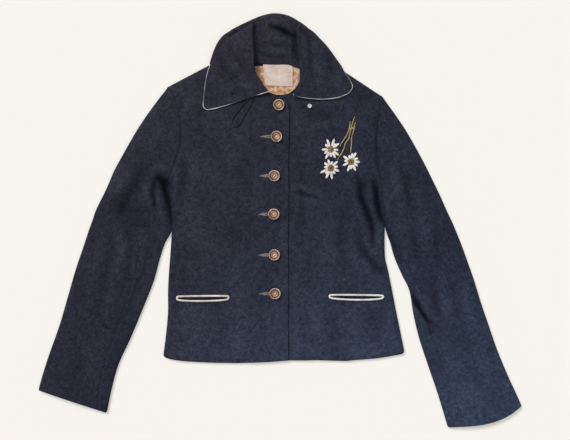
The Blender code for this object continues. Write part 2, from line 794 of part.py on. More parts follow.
RIGHT_SEAM_SHARES = (0.96, 0.9, 0.84, 0.8, 0.78, 0.77, 0.77, 0.78, 0.8, 0.82, 0.85, 0.88)
LEFT_SEAM_SHARES = (0.96, 0.93, 0.9, 0.87, 0.85, 0.83, 0.82, 0.81, 0.81, 0.8, 0.8, 0.79)
sleeves = (
    ("sleeve_right", SLEEVE_RIGHT, RIGHT_UNDERARM, RIGHT_CUFF_BOW, RIGHT_SEAM_SHARES, -0.6),
    ("sleeve_left", SLEEVE_LEFT, LEFT_UNDERARM, LEFT_CUFF_BOW, LEFT_SEAM_SHARES, 0.6),
)
STRIP_COLUMNS = 7
for name, sections, underarm, bow, seam_shares, outward in sleeves:
    upper, under = sleeve_pieces(sections, underarm, bow, seam_shares, outward)
    add_sheet(name + "_upper", upper, CLOTH, loden)
    add_sheet(name + "_under", under, CLOTH, loden, kept=lambda r, c: c >= STRIP_COLUMNS or r >= underarm)

right_leaf = leaf_grid(LEAF_RIGHT, RIGHT_LIP_START, RIGHT_LEAF_BOW, RIGHT_LEAF_SAG)
left_leaf = leaf_grid(LEAF_LEFT, LEFT_LIP_START, LEFT_LEAF_BOW, LEFT_LEAF_SAG)
LIP_COLUMNS = 3
add_sheet(
    "collar_leaf_right", right_leaf, COLLAR_CLOTH, loden, kept=lambda r, c: c >= LIP_COLUMNS or r >= RIGHT_LIP_START
)
add_sheet(
    "collar_leaf_left", left_leaf, COLLAR_CLOTH, loden, kept=lambda r, c: c >= LIP_COLUMNS or r >= LEFT_LIP_START
)
add_sheet("collar_back", stand_grid(), COLLAR_CLOTH, loden)
add_tube("collar_piping_right", leaf_piping_path(right_leaf, 6, -1), PIPING_RADIUS, piping)
add_tube("collar_piping_left", leaf_piping_path(left_leaf, 4, 1), PIPING_RADIUS, piping)

LINING = ((-46, 281.5), (-28, 279), (-7, 278), (15, 279), (34, 281.5), (38, 262), (33, 246), (20, 232), (4, 227.5), (-18, 231), (-33, 244), (-42, 262))
add_plate("back_neck_lining", LINING, BACK_TOP + SEAM_GAP, BACK_TOP + SEAM_GAP + 1, brocade)
LABEL = ((-29.5, 276.5), (21, 275), (20, 237.5), (-26, 241))
label_low = BACK_TOP + 2 * SEAM_GAP + 1
add_plate("label", LABEL, label_low, label_low + 0.6, woven_label)

pockets = (
    ("right", POCKET_RIGHT, right_front_mid, front_right),
    ("left", POCKET_LEFT, left_front_mid, front_left),
)
for side, pocket, mid, front in pockets:
    ring = pocket_line(pocket, 0, mid, SKIN + SEAM_GAP + POCKET_PIPING_RADIUS)
    add_tube("pocket_piping_" + side, ring, POCKET_PIPING_RADIUS, piping, closed=True)
    slit = [(point.x, point.y) for point in pocket_line(pocket, 1.2, mid, 0)]
    cut(front, add_plate("pocket_cutter_" + side, slit, BACK_TOP, LOFT_MID + 6, loden_inside))
    facing = [(point.x, point.y) for point in pocket_line(pocket, -4, mid, 0)]
    add_plate("pocket_facing_" + side, facing, BACK_TOP + SEAM_GAP, BACK_TOP + SEAM_GAP + 1, loden_inside)

BUTTON_PROFILE = ((0, 0), (7, 0), (9.6, 1.1), (10.25, 2.6), (9.5, 4.4), (8.2, 4.6), (6.6, 3), (0, 2.6))
for number, (x, y) in enumerate(BUTTONS, 1):
    seat = right_front_mid(x, y) + SKIN + SEAM_GAP
    tilt = 0.12 if number == 1 else 0
    button = add_turned("button_%d" % number, (x, y, seat), BUTTON_PROFILE, BUTTON_STEPS, horn, tilt)
    for hole, offset in enumerate((-BUTTON_HOLE_OFFSET, BUTTON_HOLE_OFFSET)):
        bore_profile = ((0, -3), (BUTTON_HOLE, -3), (BUTTON_HOLE, 12), (0, 12))
        bore = add_turned("bore_%d_%d" % (number, hole), (x + offset, y, seat), bore_profile, 8, horn)
        cut(button, bore)

x, y = NECK_BUTTON
seat = left_front_mid(x, y) + SKIN + SEAM_GAP
profile = ((0, 0), (3, 0), (NECK_BUTTON_RADIUS, 0.8), (3.7, 1.9), (2.4, 1.9), (0, 1.5))
add_turned("neck_button", (x, y, seat), profile, 14, pale_button)

loop_curve = bpy.data.curves.new("neck_loop", "CURVE")
loop_curve.dimensions = "3D"
loop_curve.bevel_depth = LOOP_RADIUS * MM
loop_curve.bevel_resolution = 2
loop_curve.use_fill_caps = True
spline = loop_curve.splines.new("POLY")
LOOP_STEPS = 25
spline.points.add(LOOP_STEPS - 1)
for step in range(LOOP_STEPS):
    x, y = along_path(LOOP_PATH, step / (LOOP_STEPS - 1))
    z = right_front_mid(x, y) + SKIN + SEAM_GAP + LOOP_RADIUS
    spline.points[step].co = (x * MM, y * MM, z * MM, 1)
loop_curve.materials.append(loden)
neck_loop = bpy.data.objects.new("neck_loop", loop_curve)
bpy.context.scene.collection.objects.link(neck_loop)

for number, flower in enumerate(FLOWERS, 1):
    add_flower(number, flower, white_thread)
stems = add_stem("edelweiss_stems", STEMS[0], stem_thread)
for number, stem in enumerate(STEMS[1:]):
    join(stems, add_stem("stem_%d" % number, stem, stem_thread))
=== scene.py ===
import math

import bpy
import numpy as np
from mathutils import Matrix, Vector


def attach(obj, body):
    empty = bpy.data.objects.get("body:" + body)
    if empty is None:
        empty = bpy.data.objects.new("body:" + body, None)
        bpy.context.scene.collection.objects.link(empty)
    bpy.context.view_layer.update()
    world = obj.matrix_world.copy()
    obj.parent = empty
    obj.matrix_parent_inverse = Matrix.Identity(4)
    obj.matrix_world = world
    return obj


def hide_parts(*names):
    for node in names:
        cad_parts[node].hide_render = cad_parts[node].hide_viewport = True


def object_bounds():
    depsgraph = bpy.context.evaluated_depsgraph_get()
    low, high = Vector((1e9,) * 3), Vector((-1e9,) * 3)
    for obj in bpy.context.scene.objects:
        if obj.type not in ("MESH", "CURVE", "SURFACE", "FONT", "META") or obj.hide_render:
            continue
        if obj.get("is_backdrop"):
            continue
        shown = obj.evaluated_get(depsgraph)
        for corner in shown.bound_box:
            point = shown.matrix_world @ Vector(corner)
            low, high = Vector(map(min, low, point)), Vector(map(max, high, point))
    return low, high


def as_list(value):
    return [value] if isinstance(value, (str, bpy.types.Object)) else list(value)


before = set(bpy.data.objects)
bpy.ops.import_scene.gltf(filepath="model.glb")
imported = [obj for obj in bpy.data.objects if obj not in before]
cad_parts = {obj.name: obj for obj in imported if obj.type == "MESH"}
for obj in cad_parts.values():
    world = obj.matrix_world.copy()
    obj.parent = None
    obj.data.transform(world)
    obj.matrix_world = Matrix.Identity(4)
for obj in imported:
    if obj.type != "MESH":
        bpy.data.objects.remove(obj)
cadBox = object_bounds()
mm = 0.001  # the sizes below are in millimetres

# The camera looks straight down on the jacket as it lies.
viewSizes = {"lens": 100, "sensor": 36, "width": 1037.4, "aim": (9.6, -0.5), "clothLevel": 6, "reach": 20}


def linked(name, data):
    made = bpy.data.objects.new(name, data)
    bpy.context.scene.collection.objects.link(made)
    return made


cameraData = bpy.data.cameras.new("camera")
cameraData.lens = viewSizes["lens"]
cameraData.sensor_width = viewSizes["sensor"]
cameraData.clip_end = viewSizes["reach"]
camera = linked("camera", cameraData)
cameraRise = viewSizes["width"] * viewSizes["lens"] / viewSizes["sensor"] + viewSizes["clothLevel"]
camera.location = [place * mm for place in (*viewSizes["aim"], cameraRise)]
bpy.context.scene.camera = camera
bpy.context.scene.view_settings.view_transform = "Standard"
print("camera placed")


# Numbers along and across the cloth.
def ease(share):
    share = np.clip(share, 0, 1)
    return share * share * (3 - 2 * share)


def mix(low, high, share):
    return low + (high - low) * share


def throughPoints(points, at):  # a smooth curve through the rows of a table, read at row numbers
    points = np.asarray(points, float)
    at = np.asarray(at, float)
    last = len(points) - 1
    first = np.clip(np.floor(at).astype(int), 0, last - 1)
    t = (at - first).reshape(at.shape + (1,) * (points.ndim - 1))

    def row(number):
        inside = points[np.clip(number, 0, last)]
        over = (number < 0).reshape(t.shape)
        past = (number > last).reshape(t.shape)
        inside = np.where(over, 2 * points[0] - points[1], inside)
        return np.where(past, 2 * points[last] - points[last - 1], inside)

    before, here, there, after = (row(first + i) for i in (-1, 0, 1, 2))
    return 0.5 * (
        2 * here
        + (there - before) * t
        + (2 * before - 5 * here + 4 * there - after) * t**2
        + (3 * here - before - 3 * there + after) * t**3
    )


def smoothPath(points, count):
    return throughPoints(points, np.linspace(0, len(points) - 1, count))


def throughGrid(grid, down, across):  # a smooth surface through rows of points
    return throughPoints(throughPoints(grid, down).transpose(1, 0, 2), across).transpose(1, 0, 2)


def runAlong(path):  # how far along a path each of its points lies
    return np.concatenate([[0], np.cumsum(np.linalg.norm(np.diff(path, axis=0), axis=1))])


def evenly(path, count, closed=False):  # the same path, with its points the same distance apart
    run = runAlong(path)
    spots = np.linspace(0, run[-1], count, endpoint=not closed)
    return np.stack([np.interp(spots, run, path[:, i]) for i in range(path.shape[1])], 1)


def evenPath(points, count):
    return evenly(smoothPath(points, 400), count)


def besidePath(path):  # the way to the left of a path, at each of its points
    heading = np.gradient(path[:, :2], axis=0)
    heading /= np.linalg.norm(heading, axis=1, keepdims=True)
    return np.stack([-heading[:, 1], heading[:, 0]], 1)


def raised(plan, level):  # places on the ground, taken up to their levels
    level = np.broadcast_to(level, plan.shape[:-1])
    return np.concatenate([plan, level[..., None]], -1)


def nearPath(path, x, y):  # from each point to a path: how far, how far along it, and on which side
    best = np.full(np.shape(x), 1e9)
    share = np.zeros(np.shape(x))
    side = np.zeros(np.shape(x))
    steps = len(path) - 1
    for i in range(steps):
        (ax, ay), (bx, by) = path[i][:2], path[i + 1][:2]
        runX, runY = bx - ax, by - ay
        held = np.clip(((x - ax) * runX + (y - ay) * runY) / (runX * runX + runY * runY + 1e-9), 0, 1)
        away = np.hypot(x - ax - runX * held, y - ay - runY * held)
        nearer = away < best
        best = np.where(nearer, away, best)
        share = np.where(nearer, (i + held) / steps, share)
        side = np.where(nearer, runX * (y - ay) - runY * (x - ax), side)
    return best, share, side


def unevenness(x, y, size, seed):  # smooth random values from -1 to 1, this many millimetres apart
    values = np.random.RandomState(seed).uniform(-1, 1, (64, 64))
    u, v = x / size + 200.5, y / size + 200.5
    i, j = np.floor(u).astype(int), np.floor(v).astype(int)
    a, b = ease(u - i), ease(v - j)
    i0, i1, j0, j1 = i % 64, (i + 1) % 64, j % 64, (j + 1) % 64
    low = values[i0, j0] * (1 - a) + values[i1, j0] * a
    high = values[i0, j1] * (1 - a) + values[i1, j1] * a
    return low * (1 - b) + high * b


foldStrength = 1.25


def foldRelief(x, y, folds, seed):  # each fold: its path, its reach on the left and right of it, its height
    height = np.zeros(np.shape(x))
    waver = unevenness(x, y, 17, seed)
    for number, (path, left, right, tall) in enumerate(folds):
        away, share, side = nearPath(smoothPath(path, 4 * len(path)), x, y)
        reach = np.where(side > 0, left, right) * (1 + 0.22 * waver)
        fade = np.sin(math.pi * (0.04 + 0.92 * share)) ** 0.75
        lively = 1 + 0.25 * unevenness(x, y, 23, seed + number)
        height += tall * lively * np.exp(-((away / reach) ** 1.8)) * fade
    return height * foldStrength


def blurred(values, steps):  # a soft average over neighbouring rows and columns
    padded = values
    for _ in range(2):
        for axis in (0, 1):
            wide = np.pad(padded, [(steps, steps) if axis == a else (0, 0) for a in (0, 1)], mode="edge")
            total = np.cumsum(wide, axis)
            total = np.concatenate([np.zeros_like(np.take(total, [0], axis)), total], axis)
            count = 2 * steps + 1
            size = values.shape[axis]
            ends = (np.take(total, np.arange(size) + skip, axis) for skip in (count, 0))
            padded = (next(ends) - next(ends)) / count
    return padded


def creaseShading(slack):  # how sunken the cloth is: above 0 in a crease, below 0 on a ridge; it paints shade into creases, and highlight and worn nap onto ridges
    near, wide, broad = (blurred(slack, steps) - slack for steps in (3, 9, 26))
    return np.clip(0.5 * near + 0.4 * wide + 0.3 * broad, -1.2, 2.2)


# Painted light and shade on the cloth: painted light makes it paler and bluer towards the hem and the left
# cuff, and painted shade darkens it where it lies in deep folds.
paintedLightAndShadeSizes = {
    "down": ((0, 120, 180, 240, 330), (1, 1.2, 1.38, 1.62, 1.95)),
    "across": ((-260, -180, 0, 200, 260, 330, 440), (0, 0.55, 1, 1.05, 0.45, 0.85, 1)),
    "elbow": (-230, 40, 80, 60, 0.12),
    "hue": (1.12, 0.0006, -0.00045),
    # painted shade along each path: its points, its reach and how much darker; a negative amount paints a
    # highlight instead
    "deep": [
        # under the right arm
        ([(-221, 79), (-212.5, 67), (-208.8, 54), (-203.4, 34), (-198.8, 7), (-197, -20)], 6.5, 0.7),
        ([(-219, 77), (-209, 70), (-198, 63)], 9, 0.5),
        ([(-214, 74), (-206, 56)], 11, 0.35),
        ([(-223, 76), (-229, 64), (-230, 44), (-225, 18)], 5, 0.24),
        ([(-226, 86), (-214, 60), (-204, 16)], 17, 0.34),
        # the right elbow and forearm
        ([(-244, 101), (-260, 70), (-278, 38), (-293, 15)], 15, 0.32),
        ([(-296, 16), (-282, 12)], 9, 0.16),
        ([(-296, 4), (-255, 8), (-220, 4)], 16, 0.28),
        ([(-277, -8), (-270, -48)], 9, 0.14),
        ([(-240, -52), (-247, -88), (-265, -130), (-288, -185)], 4, 0.28),
        ([(-322, 66), (-284, 60)], 26, -0.09),
        # under the left arm
        ([(183, 196), (177, 176), (176, 130), (181, 86)], 4, 0.3),
        ([(171, 74), (175, 50), (178, 28), (184, 6), (191, -8)], 7.5, 0.78),
        ([(192, 2), (201, -26), (208, -46), (218, -70)], 6, 0.5),
        ([(142, 78), (147, 46), (156, 22), (165, 0), (169, -24), (167, -50)], 6.5, 0.5),
        ([(147, 78), (150, 52), (158, 26)], 10, 0.4),
        ([(138, -18), (148, -50), (164, -71), (188, -102)], 8, 0.22),
        # the left elbow, and the shade of the collar
        ([(240, -134), (251, -156), (264, -178), (275, -186)], 5, 0.5),
        ([(20, 216), (60, 204), (110, 190)], 9, 0.14),
        # the hollow of the collar, and the edge of its leaf
        ([(-17, 351.5), (2, 345.5), (14, 339), (30, 333)], 3.6, 0.68),
        ([(2, 343), (16, 337), (30, 330)], 9, 0.32),
        ([(26, 348), (28.5, 340), (29, 330)], 3.2, 0.6),
        ([(29, 330), (32, 306), (30, 280)], 6, 0.34),
        ([(-97, 332.5), (-82, 340.8), (-58, 354)], 2.6, 0.72),
        ([(-96, 328.5), (-80, 336.6), (-56, 349.8)], 2.2, -0.32),
    ],
}


def paintedLightAndShadeOf(x, y):
    paler = 1 + (np.interp(-y, *paintedLightAndShadeSizes["down"]) - 1) * np.interp(x, *paintedLightAndShadeSizes["across"])
    edge, fade, foot, spread, amount = paintedLightAndShadeSizes["elbow"]
    paler = paler - amount * ease((edge - x) / fade) * ease((foot - y) / spread)
    start, across, along = paintedLightAndShadeSizes["hue"]
    hue = start + across * x + along * y - 0.1 * ease((y - 220) / 70)
    for path, reach, amount in paintedLightAndShadeSizes["deep"]:
        away, share, _ = nearPath(smoothPath(path, 4 * len(path)), x, y)
        fade = np.sin(math.pi * (0.06 + 0.88 * share)) ** 0.6
        paler = paler * (1 - amount * np.exp(-((away / reach) ** 2)) * fade)
    blue = hue**0.3 * np.minimum(paler, 1) ** -0.25  # the painted shade in the hollows is bluer
    return np.stack([paler * hue**-0.7, paler, paler * blue, np.ones(np.shape(x))], -1)


def softGround(x, y, seed, turn=0.0, stretch=1.0, amount=1.0):  # the slack of cloth that isn't pressed flat
    u = x * math.cos(turn) - y * math.sin(turn)
    v = (x * math.sin(turn) + y * math.cos(turn)) / stretch
    wide = unevenness(u, v, 52, seed) + 0.45 * unevenness(u, v, 24, seed + 1)
    fine = 0.2 * unevenness(u, v, 11, seed + 2) + 0.09 * unevenness(u, v, 6, seed + 3)
    return amount * (wide * 0.8 + fine)


def quarterRound(distance, reach):
    share = 1 - np.clip(distance / reach, 0, 1)
    return np.sqrt(np.maximum(0, 1 - share * share))


# Pieces made from points, each cloth with a real wall.
def meshOf(name, points, quads, material, turn=0.0, tone=None):
    mesh = bpy.data.meshes.new(name)
    points = np.asarray(points, np.float32)
    quads = np.asarray(quads, np.int32)
    mesh.vertices.add(len(points))
    mesh.vertices.foreach_set("co", (points * mm).ravel())
    mesh.loops.add(quads.size)
    mesh.loops.foreach_set("vertex_index", quads.ravel())
    mesh.polygons.add(len(quads))
    mesh.polygons.foreach_set("loop_start", np.arange(0, quads.size, quads.shape[1], dtype=np.int32))
    mesh.polygons.foreach_set("use_smooth", np.ones(len(quads), bool))
    mesh.update(calc_edges=True)
    grain = mesh.uv_layers.new(name="grain")  # the cloth's own grain: metres across it and along it
    spots = points[quads.ravel()] * mm
    across = spots[:, 0] * math.cos(turn) - spots[:, 1] * math.sin(turn)
    along = spots[:, 0] * math.sin(turn) + spots[:, 1] * math.cos(turn)
    grain.data.foreach_set("uv", np.stack([across, along], 1).astype(np.float32).ravel())
    if tone is not None:
        paintedCreaseShading = mesh.attributes.new("paintedCreaseShading", "FLOAT", "POINT")
        paintedCreaseShading.data.foreach_set("value", np.asarray(tone, np.float32))
    # painted light and shade for each point, kept on the mesh for its material
    toneAndPaintedLight = mesh.attributes.new("toneAndPaintedLight", "FLOAT_COLOR", "POINT")
    toneAndPaintedLight.data.foreach_set("color", paintedLightAndShadeOf(points[:, 0], points[:, 1]).astype(np.float32).ravel())
    mesh.materials.append(material)
    return linked(name, mesh)


def gridQuads(rows, columns):
    index = np.arange(rows * columns).reshape(rows, columns)
    return np.stack([index[:-1, :-1], index[:-1, 1:], index[1:, 1:], index[1:, :-1]], -1).reshape(-1, 4)


def vertexNormals(points, quads):
    corners = points[quads]
    facing = np.cross(corners[:, 2] - corners[:, 0], corners[:, 3] - corners[:, 1])
    normals = np.zeros_like(points)
    for corner in range(4):
        np.add.at(normals, quads[:, corner], facing)
    return normals / np.maximum(np.linalg.norm(normals, axis=1, keepdims=True), 1e-12), facing


def clothShell(name, middle, quads, wall, material, fullness=None, upright=False, turn=0.0, slack=None):
    # A cloth with a real wall: the middle of it, and how full the wall is at each point.
    middle = middle.reshape(-1, 3)
    normals, facing = vertexNormals(middle, quads)
    if upright:
        normals = np.tile([0.0, 0.0, np.sign(facing[:, 2].sum())], (len(middle), 1))
    half = (wall / 2) * (np.ones(len(middle)) if fullness is None else fullness.ravel())[:, None]
    count = len(middle)
    points = np.concatenate([middle + normals * half, middle - normals * half])
    edges = np.concatenate([quads[:, [i, (i + 1) % 4]] for i in range(4)])
    keys = edges[:, 0].astype(np.int64) * count + edges[:, 1]
    back = edges[:, 1].astype(np.int64) * count + edges[:, 0]
    rim = edges[~np.isin(keys, back)]
    sides = np.stack([rim[:, 1], rim[:, 0], rim[:, 0] + count, rim[:, 1] + count], 1)
    faces = np.concatenate([quads, quads[:, ::-1] + count, sides])
    used, faces = np.unique(faces, return_inverse=True)
    # kept on each point for painted shade in the creases and painted highlight on the ridges
    tone = None if slack is None else np.tile(creaseShading(slack).ravel(), 2)[used]
    return meshOf(name, points[used], faces.reshape(-1, 4), material, turn, tone)


rimSizes = {"places": (0.16, 0.5, 0.95), "fullness": (0.3, 0.68, 0.92, 1.0)}  # how a cut edge rounds off


def withRims(count, length, dense=0, crowd=1.0):  # shares across a cloth, closer at its edges and its start
    spots = np.linspace(0, 1, 2000)
    if dense:
        weight = 1 + (crowd - 1) * (1 - ease((spots * length - dense) / 25))
        spread = np.concatenate([[0], np.cumsum((weight[1:] + weight[:-1]) / 2)])
        inner = np.interp(np.linspace(0, 1, count), spread / spread[-1], spots)[1:-1]
    else:
        inner = np.linspace(0, 1, count)[1:-1]
    near = np.array(rimSizes["places"]) / length
    inner = inner[(inner > near[-1] * 1.6) & (inner < 1 - near[-1] * 1.6)]
    return np.concatenate([[0], near, inner, 1 - near[::-1], [1]])


def rimmed(rows, columns, top=True, bottom=True, left=True, right=True):
    full = np.ones((rows, columns))
    for i, share in enumerate(rimSizes["fullness"]):
        if top:
            full[i] = np.minimum(full[i], share)
        if bottom:
            full[rows - 1 - i] = np.minimum(full[rows - 1 - i], share)
        if left:
            full[:, i] = np.minimum(full[:, i], share)
        if right:
            full[:, columns - 1 - i] = np.minimum(full[:, columns - 1 - i], share)
    return full


def layPatch(name, plan, level, wall, material, turn=0.0):  # a cloth that lies flat, its face up
    quads = gridQuads(*plan.shape[:2])[:, ::-1]
    return clothShell(name, raised(plan, level), quads, wall, material, rimmed(*plan.shape[:2]), True, turn)


def dress(piece, slot, *nodes):  # it rides on the jacket's body, and hides these solids
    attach(piece, "root")
    if nodes:
        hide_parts(*nodes)
    return piece


def roundTube(name, path, radius, material, sides=10, closed=False, flat=1.0, wobble=0.0, seed=1):
    # A rope-like piece along a path, its ends domed, its width a little uneven.
    path = np.asarray(path, float)
    count = len(path)
    ahead = np.roll(path, -1, 0) - np.roll(path, 1, 0)
    if not closed:
        ahead[0], ahead[-1] = path[1] - path[0], path[-1] - path[-2]
    ahead /= np.linalg.norm(ahead, axis=1, keepdims=True)
    side = np.cross(ahead, [0, 0, 1.0])
    side /= np.maximum(np.linalg.norm(side, axis=1, keepdims=True), 1e-9)
    up = np.cross(side, ahead)
    radii = radius * (1 + wobble * np.random.RandomState(seed).uniform(-1, 1, count))
    rings = [(path[i], radii[i], 0.0) for i in range(count)]
    if not closed:
        cap = [(0.95, 0.35), (0.75, 0.66), (0.42, 0.9)]
        rings = (
            [(path[0] - ahead[0] * radii[0] * out, radii[0] * wide, 0) for wide, out in reversed(cap)]
            + rings
            + [(path[-1] + ahead[-1] * radii[-1] * out, radii[-1] * wide, 0) for wide, out in cap]
        )
        extra = len(cap)
        side = np.concatenate([np.repeat(side[:1], extra, 0), side, np.repeat(side[-1:], extra, 0)])
        up = np.concatenate([np.repeat(up[:1], extra, 0), up, np.repeat(up[-1:], extra, 0)])
    turns = np.arange(sides) * 2 * math.pi / sides
    points = np.array(
        [
            centre + side[i] * (wide * math.cos(t)) + up[i] * (wide * math.sin(t) * flat)
            for i, (centre, wide, _) in enumerate(rings)
            for t in turns
        ]
    )
    total = len(rings)
    faces = []
    for i in range(total if closed else total - 1):
        j = (i + 1) % total
        for k in range(sides):
            m = (k + 1) % sides
            faces.append([i * sides + k, i * sides + m, j * sides + m, j * sides + k])
    if not closed:
        first, last = len(points), len(points) + 1
        points = np.concatenate([points, [points[:sides].mean(0)], [points[-sides:].mean(0)]])
        for k in range(0, sides, 2):  # the ends close in quads round one point
            faces.append([first, (k + 2) % sides, k + 1, k])
            base = (total - 1) * sides
            faces.append([last, base + k, base + k + 1, base + (k + 2) % sides])
    return meshOf(name, points, faces, material)


# Looks: how a cloth, thread or button takes the light.
def addNode(tree, kind, inputs=(), **settings):  # a node with its settings, each input a value or a link
    node = tree.nodes.new(kind)
    for key, value in settings.items():
        setattr(node, key, value)
    for socket, value in dict(inputs).items():
        if hasattr(value, "is_output"):
            tree.links.new(value, node.inputs[socket])
        else:
            node.inputs[socket].default_value = value
    return node


def newMaterial(name, colour, roughness, inputs=()):  # a material, and what adds to it and finishes it
    material = bpy.data.materials.new(name)
    material.use_nodes = True
    tree = material.node_tree
    shader = tree.nodes["Principled BSDF"]
    for socket, value in {"Base Color": (*colour, 1), "Roughness": roughness, **dict(inputs)}.items():
        shader.inputs[socket].default_value = value

    def add(kind, inputs=(), **settings):
        return addNode(tree, kind, inputs, **settings)

    def finish(shown, height, strength, distance, rough=None):
        bump = add("ShaderNodeBump", {"Height": height, "Strength": strength, "Distance": distance})
        sources = {"Base Color": shown, "Normal": bump.outputs["Normal"], "Roughness": rough}
        for socket, source in sources.items():
            if source:
                tree.links.new(source, shader.inputs[socket])
        return material

    return material, add, finish


def objectPlace(add):
    return add("ShaderNodeTexCoord").outputs["Object"]


def laidPlace(add, layer="grain"):
    return add("ShaderNodeUVMap", uv_map=layer).outputs["UV"]


def kept(add, name, output="Fac"):  # a value or colour that the mesh keeps on its points
    return add("ShaderNodeAttribute", attribute_name=name).outputs[output]


def noise(add, source, scale, detail=3.0, roughness=0.5, stretch=None):
    if stretch:
        source = add("ShaderNodeMapping", {"Scale": stretch, "Vector": source}).outputs["Vector"]
    inputs = {"Scale": scale, "Detail": detail, "Roughness": roughness, "Vector": source}
    return add("ShaderNodeTexNoise", inputs).outputs["Fac"]


waveTurn = 6.283  # a wave texture repeats after this much


def ribs(add, source, perMetre, inputs, **settings):  # fine ridges side by side
    inputs = {"Scale": perMetre / waveTurn, "Vector": source, **inputs}
    return add("ShaderNodeTexWave", inputs, **settings).outputs["Fac"]


def between(add, first, second, share):
    return add("ShaderNodeMix", {0: share, 2: first, 3: second}, data_type="FLOAT").outputs[0]


def multiplied(add, *layers):
    shown = layers[0]
    for layer in layers[1:]:
        mixed = add("ShaderNodeMix", {0: 1, 6: shown, 7: layer}, data_type="RGBA", blend_type="MULTIPLY")
        shown = mixed.outputs[2]
    return shown


def ranged(add, value, **ends):  # fromMin, fromMax, toMin and toMax
    names = {"fromMin": "From Min", "fromMax": "From Max", "toMin": "To Min", "toMax": "To Max"}
    inputs = {names[end]: value for end, value in ends.items()}
    return add("ShaderNodeMapRange", {**inputs, "Value": value}).outputs["Result"]


def ramped(add, value, places, colours, soft=False):
    made = add("ShaderNodeValToRGB", {"Fac": value})
    stops = list(zip(places, colours))
    for element, (place, colour) in zip(made.color_ramp.elements, (stops[0], stops[-1])):
        element.position = place
        element.color = (*colour, 1)
    for place, colour in stops[1:-1]:
        made.color_ramp.elements.new(place).color = (*colour, 1)
    if soft:
        made.color_ramp.interpolation = "B_SPLINE"
    return made.outputs["Color"]


plain = (1, 1, 1)
lodenLook = {
    "tones": [(0.013, 0.014, 0.0225), (0.0248, 0.0268, 0.042), (0.0545, 0.058, 0.083)],
    "toneAt": (0.32, 0.5, 0.72),
    "fibres": {"perMetre": 520, "stretch": (1, 0.45, 1)},
    "flecks": {"perMetre": 1500, "stretch": (1, 0.3, 1), "share": 0.3},
    "twill": {"perMetre": 1150, "share": 0.04, "waves": {"Distortion": 4, "Detail": 2, "Detail Scale": 2.5}},
    "tufts": {"perMetre": 125, "tones": [(0.47, 0.49, 0.53), plain, (1.6, 1.56, 1.5)], "raised": 0.35},
    "clouds": {"perMetre": 16, "tones": [(0.89, 0.89, 0.9), (1.11, 1.11, 1.1)]},
    # painted shade in the creases, and painted highlight with worn nap on the ridges
    "creaseShadeAndSheen": {"ends": (-1.2, 2.2), "flat": 0.353, "tones": [(1.3, 1.3, 1.28), plain, (0.3, 0.3, 0.34)]},
    "rough": (0.82, 1.0),
    "bump": 0.55,
}
lodenShine = {
    "Sheen Weight": 0.035,
    "Sheen Roughness": 0.5,
    "Sheen Tint": (0.7, 0.78, 1, 1),
    "Specular IOR Level": 0.12,
}


def makeLoden(name, look, toneAndPaintedLight=1.0, onCloth=True):
    _, add, finish = newMaterial(name, look["tones"][1], 0.95, lodenShine)
    place = objectPlace(add)
    grain = laidPlace(add) if onCloth else place
    fibres = noise(add, grain, look["fibres"]["perMetre"], 4, 0.7, look["fibres"]["stretch"])
    flecks = noise(add, grain, look["flecks"]["perMetre"], 2, 0.6, look["flecks"]["stretch"])
    tufts = noise(add, place, look["tufts"]["perMetre"], 4, 0.8)
    clouds = noise(add, place, look["clouds"]["perMetre"], 3, 0.55)
    twill = ribs(add, grain, look["twill"]["perMetre"], look["twill"]["waves"], bands_direction="DIAGONAL")
    nap = between(add, fibres, flecks, look["flecks"]["share"])
    woven = between(add, nap, twill, look["twill"]["share"])
    layers = [ramped(add, woven, look["toneAt"], [tuple(c * toneAndPaintedLight for c in tone) for tone in look["tones"]])]
    if onCloth:
        # the painted light and shade kept on each point of the cloth
        layers.append(kept(add, "toneAndPaintedLight", "Color"))
    creaseShadeAndSheen = look["creaseShadeAndSheen"]
    creaseAndRidgeShading = ranged(add, kept(add, "paintedCreaseShading"), fromMin=creaseShadeAndSheen["ends"][0], fromMax=creaseShadeAndSheen["ends"][1])
    layers.append(ramped(add, clouds, (0.3, 0.7), look["clouds"]["tones"]))
    layers.append(ramped(add, tufts, (0.3, 0.5, 0.7), look["tufts"]["tones"]))
    # painted shade in the creases, and painted highlight with worn nap on the ridges
    layers.append(ramped(add, creaseAndRidgeShading, (0, creaseShadeAndSheen["flat"], 1), creaseShadeAndSheen["tones"]))
    low, high = look["rough"]
    rough = ranged(add, tufts, toMin=low, toMax=high)
    height = between(add, woven, tufts, look["tufts"]["raised"])
    return finish(multiplied(add, *layers), height, look["bump"], 0.001, rough)


loden = makeLoden("darkLoden", lodenLook)
lodenInside = makeLoden("shadedLoden", lodenLook, 1.1)
lodenCord = makeLoden("lodenCord", lodenLook, 0.95, onCloth=False)

pipingLooks = {  # each from its darkest tone to its palest; the grey one, for the collar, is darker throughout
    "right": {"soil": 60, "rib": 700, "tones": [(0.56, 0.47, 0.36), (0.8, 0.72, 0.66), (0.93, 0.87, 0.82)]},
    "left": {"soil": 60, "rib": 700, "tones": [(0.58, 0.56, 0.53), (0.83, 0.82, 0.82), (0.95, 0.95, 0.95)]},
    "grey": {
        "soil": 45,
        "rib": 800,
        "tones": [(0.22, 0.215, 0.22), (0.52, 0.51, 0.515), (0.78, 0.765, 0.76)],
    },
}


def makePiping(name, look):
    _, add, finish = newMaterial(name, look["tones"][1], 0.7, {"Sheen Weight": 0.05})
    place = objectPlace(add)
    soil = noise(add, place, look["soil"], 4, 0.6)
    weave = noise(add, place, look["rib"] * 2, 2, 0.5)
    twist = ribs(add, place, look["rib"], {"Distortion": 1.2}, bands_direction="DIAGONAL")
    shown = ramped(add, soil, (0.3, 0.5, 0.68), look["tones"])
    return finish(shown, between(add, twist, weave, 0.4), 0.5, 0.0003)


pipings = {side: makePiping(side + "Piping", look) for side, look in pipingLooks.items()}
print("cloth dyed")

